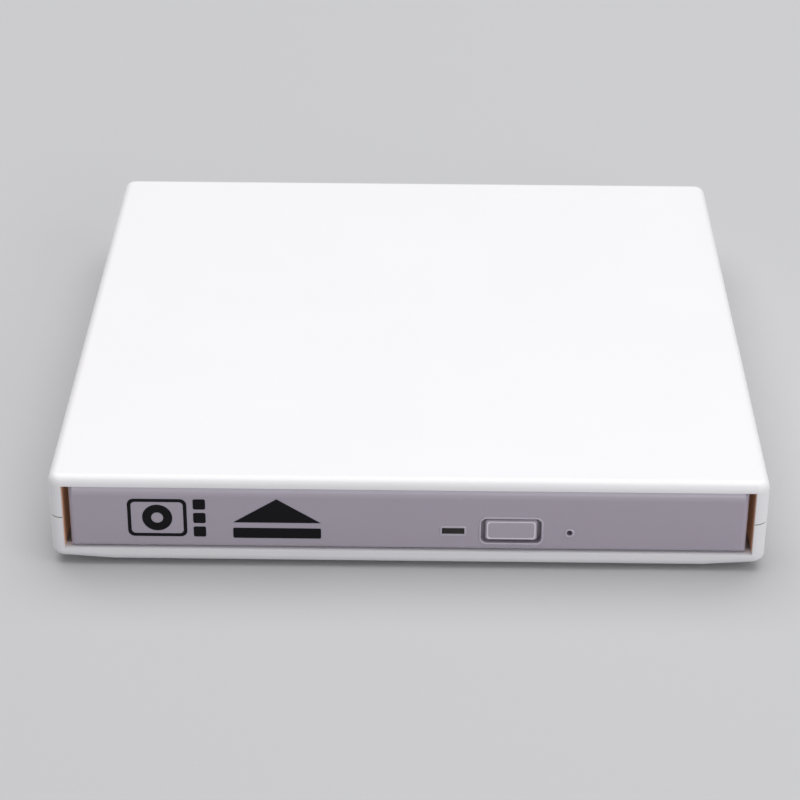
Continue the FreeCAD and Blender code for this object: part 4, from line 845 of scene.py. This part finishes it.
def small_parts(finish):
    """The front board's parts, the contacts in the sockets, the blank label and the rings in the feet."""
    board = Form(DRIVE)
    for i in range(9):
        x = 5.6 + i * 1.35 if i < 5 else 18 + i
        board.box(x, x + 0.8, -58.6, -58.1, 2.85, 3.2)
    board.piece("front_board_parts", finish["parts"], "tray", 0.04)
    plug = Form(DRIVE)
    plug.box(6.5, 19.5, -61.9, -59.4, 2.86, 3.7)
    plug.piece("front_board_plug", finish["guide"], "tray", 0.08)
    contacts = Form(CASE)
    for i in range(5):
        x = USB_X + (i - 2) * 0.8
        contacts.box(x - 0.16, x + 0.16, 59.7, 66.62, 7.0, 7.09)
        contacts.box(x - 0.16, x + 0.16, 66.5, 66.62, 7.0, 7.5)
    contacts.piece("usb_contacts", finish["gold"], "case")
    tabs = Form(CASE)
    for side in (-1, 1):
        edge = USB_X + side * 3.5
        tabs.prism([(64.0, 7.3), (67.6, 7.3), (67.9, 8.4), (64.0, 8.4)], edge - 0.09, edge + 0.09, "X")
    tabs.piece("usb_side_tabs", finish["nickel"], "case")
    spring = Form(CASE)
    spring.ribbon([(58.8, 7.0), (62.0, 7.25), (64.2, 7.5), (65.2, 7.1)], 54.9, 56.1, 0.16, "X")
    spring.piece("jack_spring", finish["nickel"], "case")
    label = Form(CASE)
    label.prism(rounded(-26, 26, -14, 24, 2.0), -0.05, 0.02)
    label.piece("underside_label", finish["label"], "case")
    border = Form(CASE)
    border.frame(rounded(-24.6, 24.6, -12.6, 22.6, 1.4), rounded(-24.3, 24.3, -12.3, 22.3, 1.2),
                 LABEL_FACE, 0.0)
    for level in (-4, 5, 14):
        border.box(-21, 21, level, level + 0.3, LABEL_FACE, 0.0)
    border.piece("label_lines", finish["print"], "case")
    rings = Form(Matrix.Identity(4))
    for x in (-FOOT_X, FOOT_X):
        for y in (-FOOT_Y, FOOT_Y):
            rings.frame(circle(x, y, 2.9, 40), circle(x, y, 2.3, 40), 0.0, 0.2)
    rings.piece("foot_rings", finish["foot"], "case")


# The ribbon cable under the tray


def flat_cable(finish):
    """A single piece that rides on no body: its lower run, its upper run, and its fold drawn out between
    them.
    """
    low, high, fold, radius = 1.075, 2.725, -60.0, 0.825
    middle = (low + high) / 2
    path = [(13.8 - i * 2.46, low) for i in range(31)]
    path[-1] = (fold, low)
    path += [(fold - radius * math.sin(math.radians(a)), middle - radius * math.cos(math.radians(a)))
             for a in range(10, 180, 10)]
    path += [(fold + i * 2.267, high) for i in range(31)]
    cable = Form(DRIVE)
    cable.ribbon(path, -34, -12, 0.14, "X")
    made = cable.piece("ribbon_cable", finish["ribbon"], None, stands_for=("flat_cable",))
    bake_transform(made)


def build_details(finish):
    front_marks(finish)
    front_rims(finish)
    bezel_painted_highlight(finish)
    opening_painted_glow(finish)
    seam_line(finish)
    disc_well(finish)
    turntable(finish)
    lead_screw(finish)
    motor_details(finish)
    pickup(finish)
    cross_screws("frame_screws", finish, "tray", MECHANISM, [(22.4, 6.0, 4.5), (-22.4, 6.0, 4.5)], 0.9, 0.4)
    small_parts(finish)
    flat_cable(finish)


# The stage: a pale floor and soft lamps

FLOOR_REACH = 3.0


def make_stage():
    mesh = bpy.data.meshes.new("floor")
    corners = [(-FLOOR_REACH, -FLOOR_REACH, 0), (FLOOR_REACH, -FLOOR_REACH, 0),
               (FLOOR_REACH, FLOOR_REACH, 0), (-FLOOR_REACH, FLOOR_REACH, 0)]
    mesh.from_pydata(corners, [], [(0, 1, 2, 3)])
    floor = bpy.data.objects.new("floor", mesh)
    bpy.context.scene.collection.objects.link(floor)
    n = Nodes("floor_paper")
    varied(n, (0.52, 0.52, 0.53), 3, 0.01)
    n.shader.inputs["Roughness"].default_value = 0.9
    n.bump(n.noise(600), 0.05, 0.00005)
    mesh.materials.append(n.material)


def add_lamp(name, place, width, depth, power):
    """A soft lamp that looks at the middle of the floor."""
    data = bpy.data.lights.new(name, "AREA")
    data.shape = "RECTANGLE"
    data.size = width
    data.size_y = depth
    data.energy = power
    lamp = bpy.data.objects.new(name, data)
    lamp.location = place
    lamp.rotation_euler = (-Vector(place)).to_track_quat("-Z", "Y").to_euler()
    bpy.context.scene.collection.objects.link(lamp)


def make_lights():
    world = bpy.data.worlds.new("studio")
    world.use_nodes = True
    background = world.node_tree.nodes["Background"]
    background.inputs["Color"].default_value = (0.93, 0.93, 0.96, 1)
    background.inputs["Strength"].default_value = 0.30
    bpy.context.scene.world = world
    add_lamp("overhead", (0.0, 0.25, 1.1), 1.7, 1.5, 16.2)
    add_lamp("side_fill", (0.9, -0.5, 0.7), 0.5, 0.5, 1.6)
    add_lamp("front_fill", (0.5, -0.95, 0.38), 0.6, 0.35, 2.3)


finishes = make_finishes()
make_camera()
finish_nodes(finishes)
build_details(finishes)
make_stage()
make_lights()
bpy.context.scene.view_settings.view_transform = "Standard"
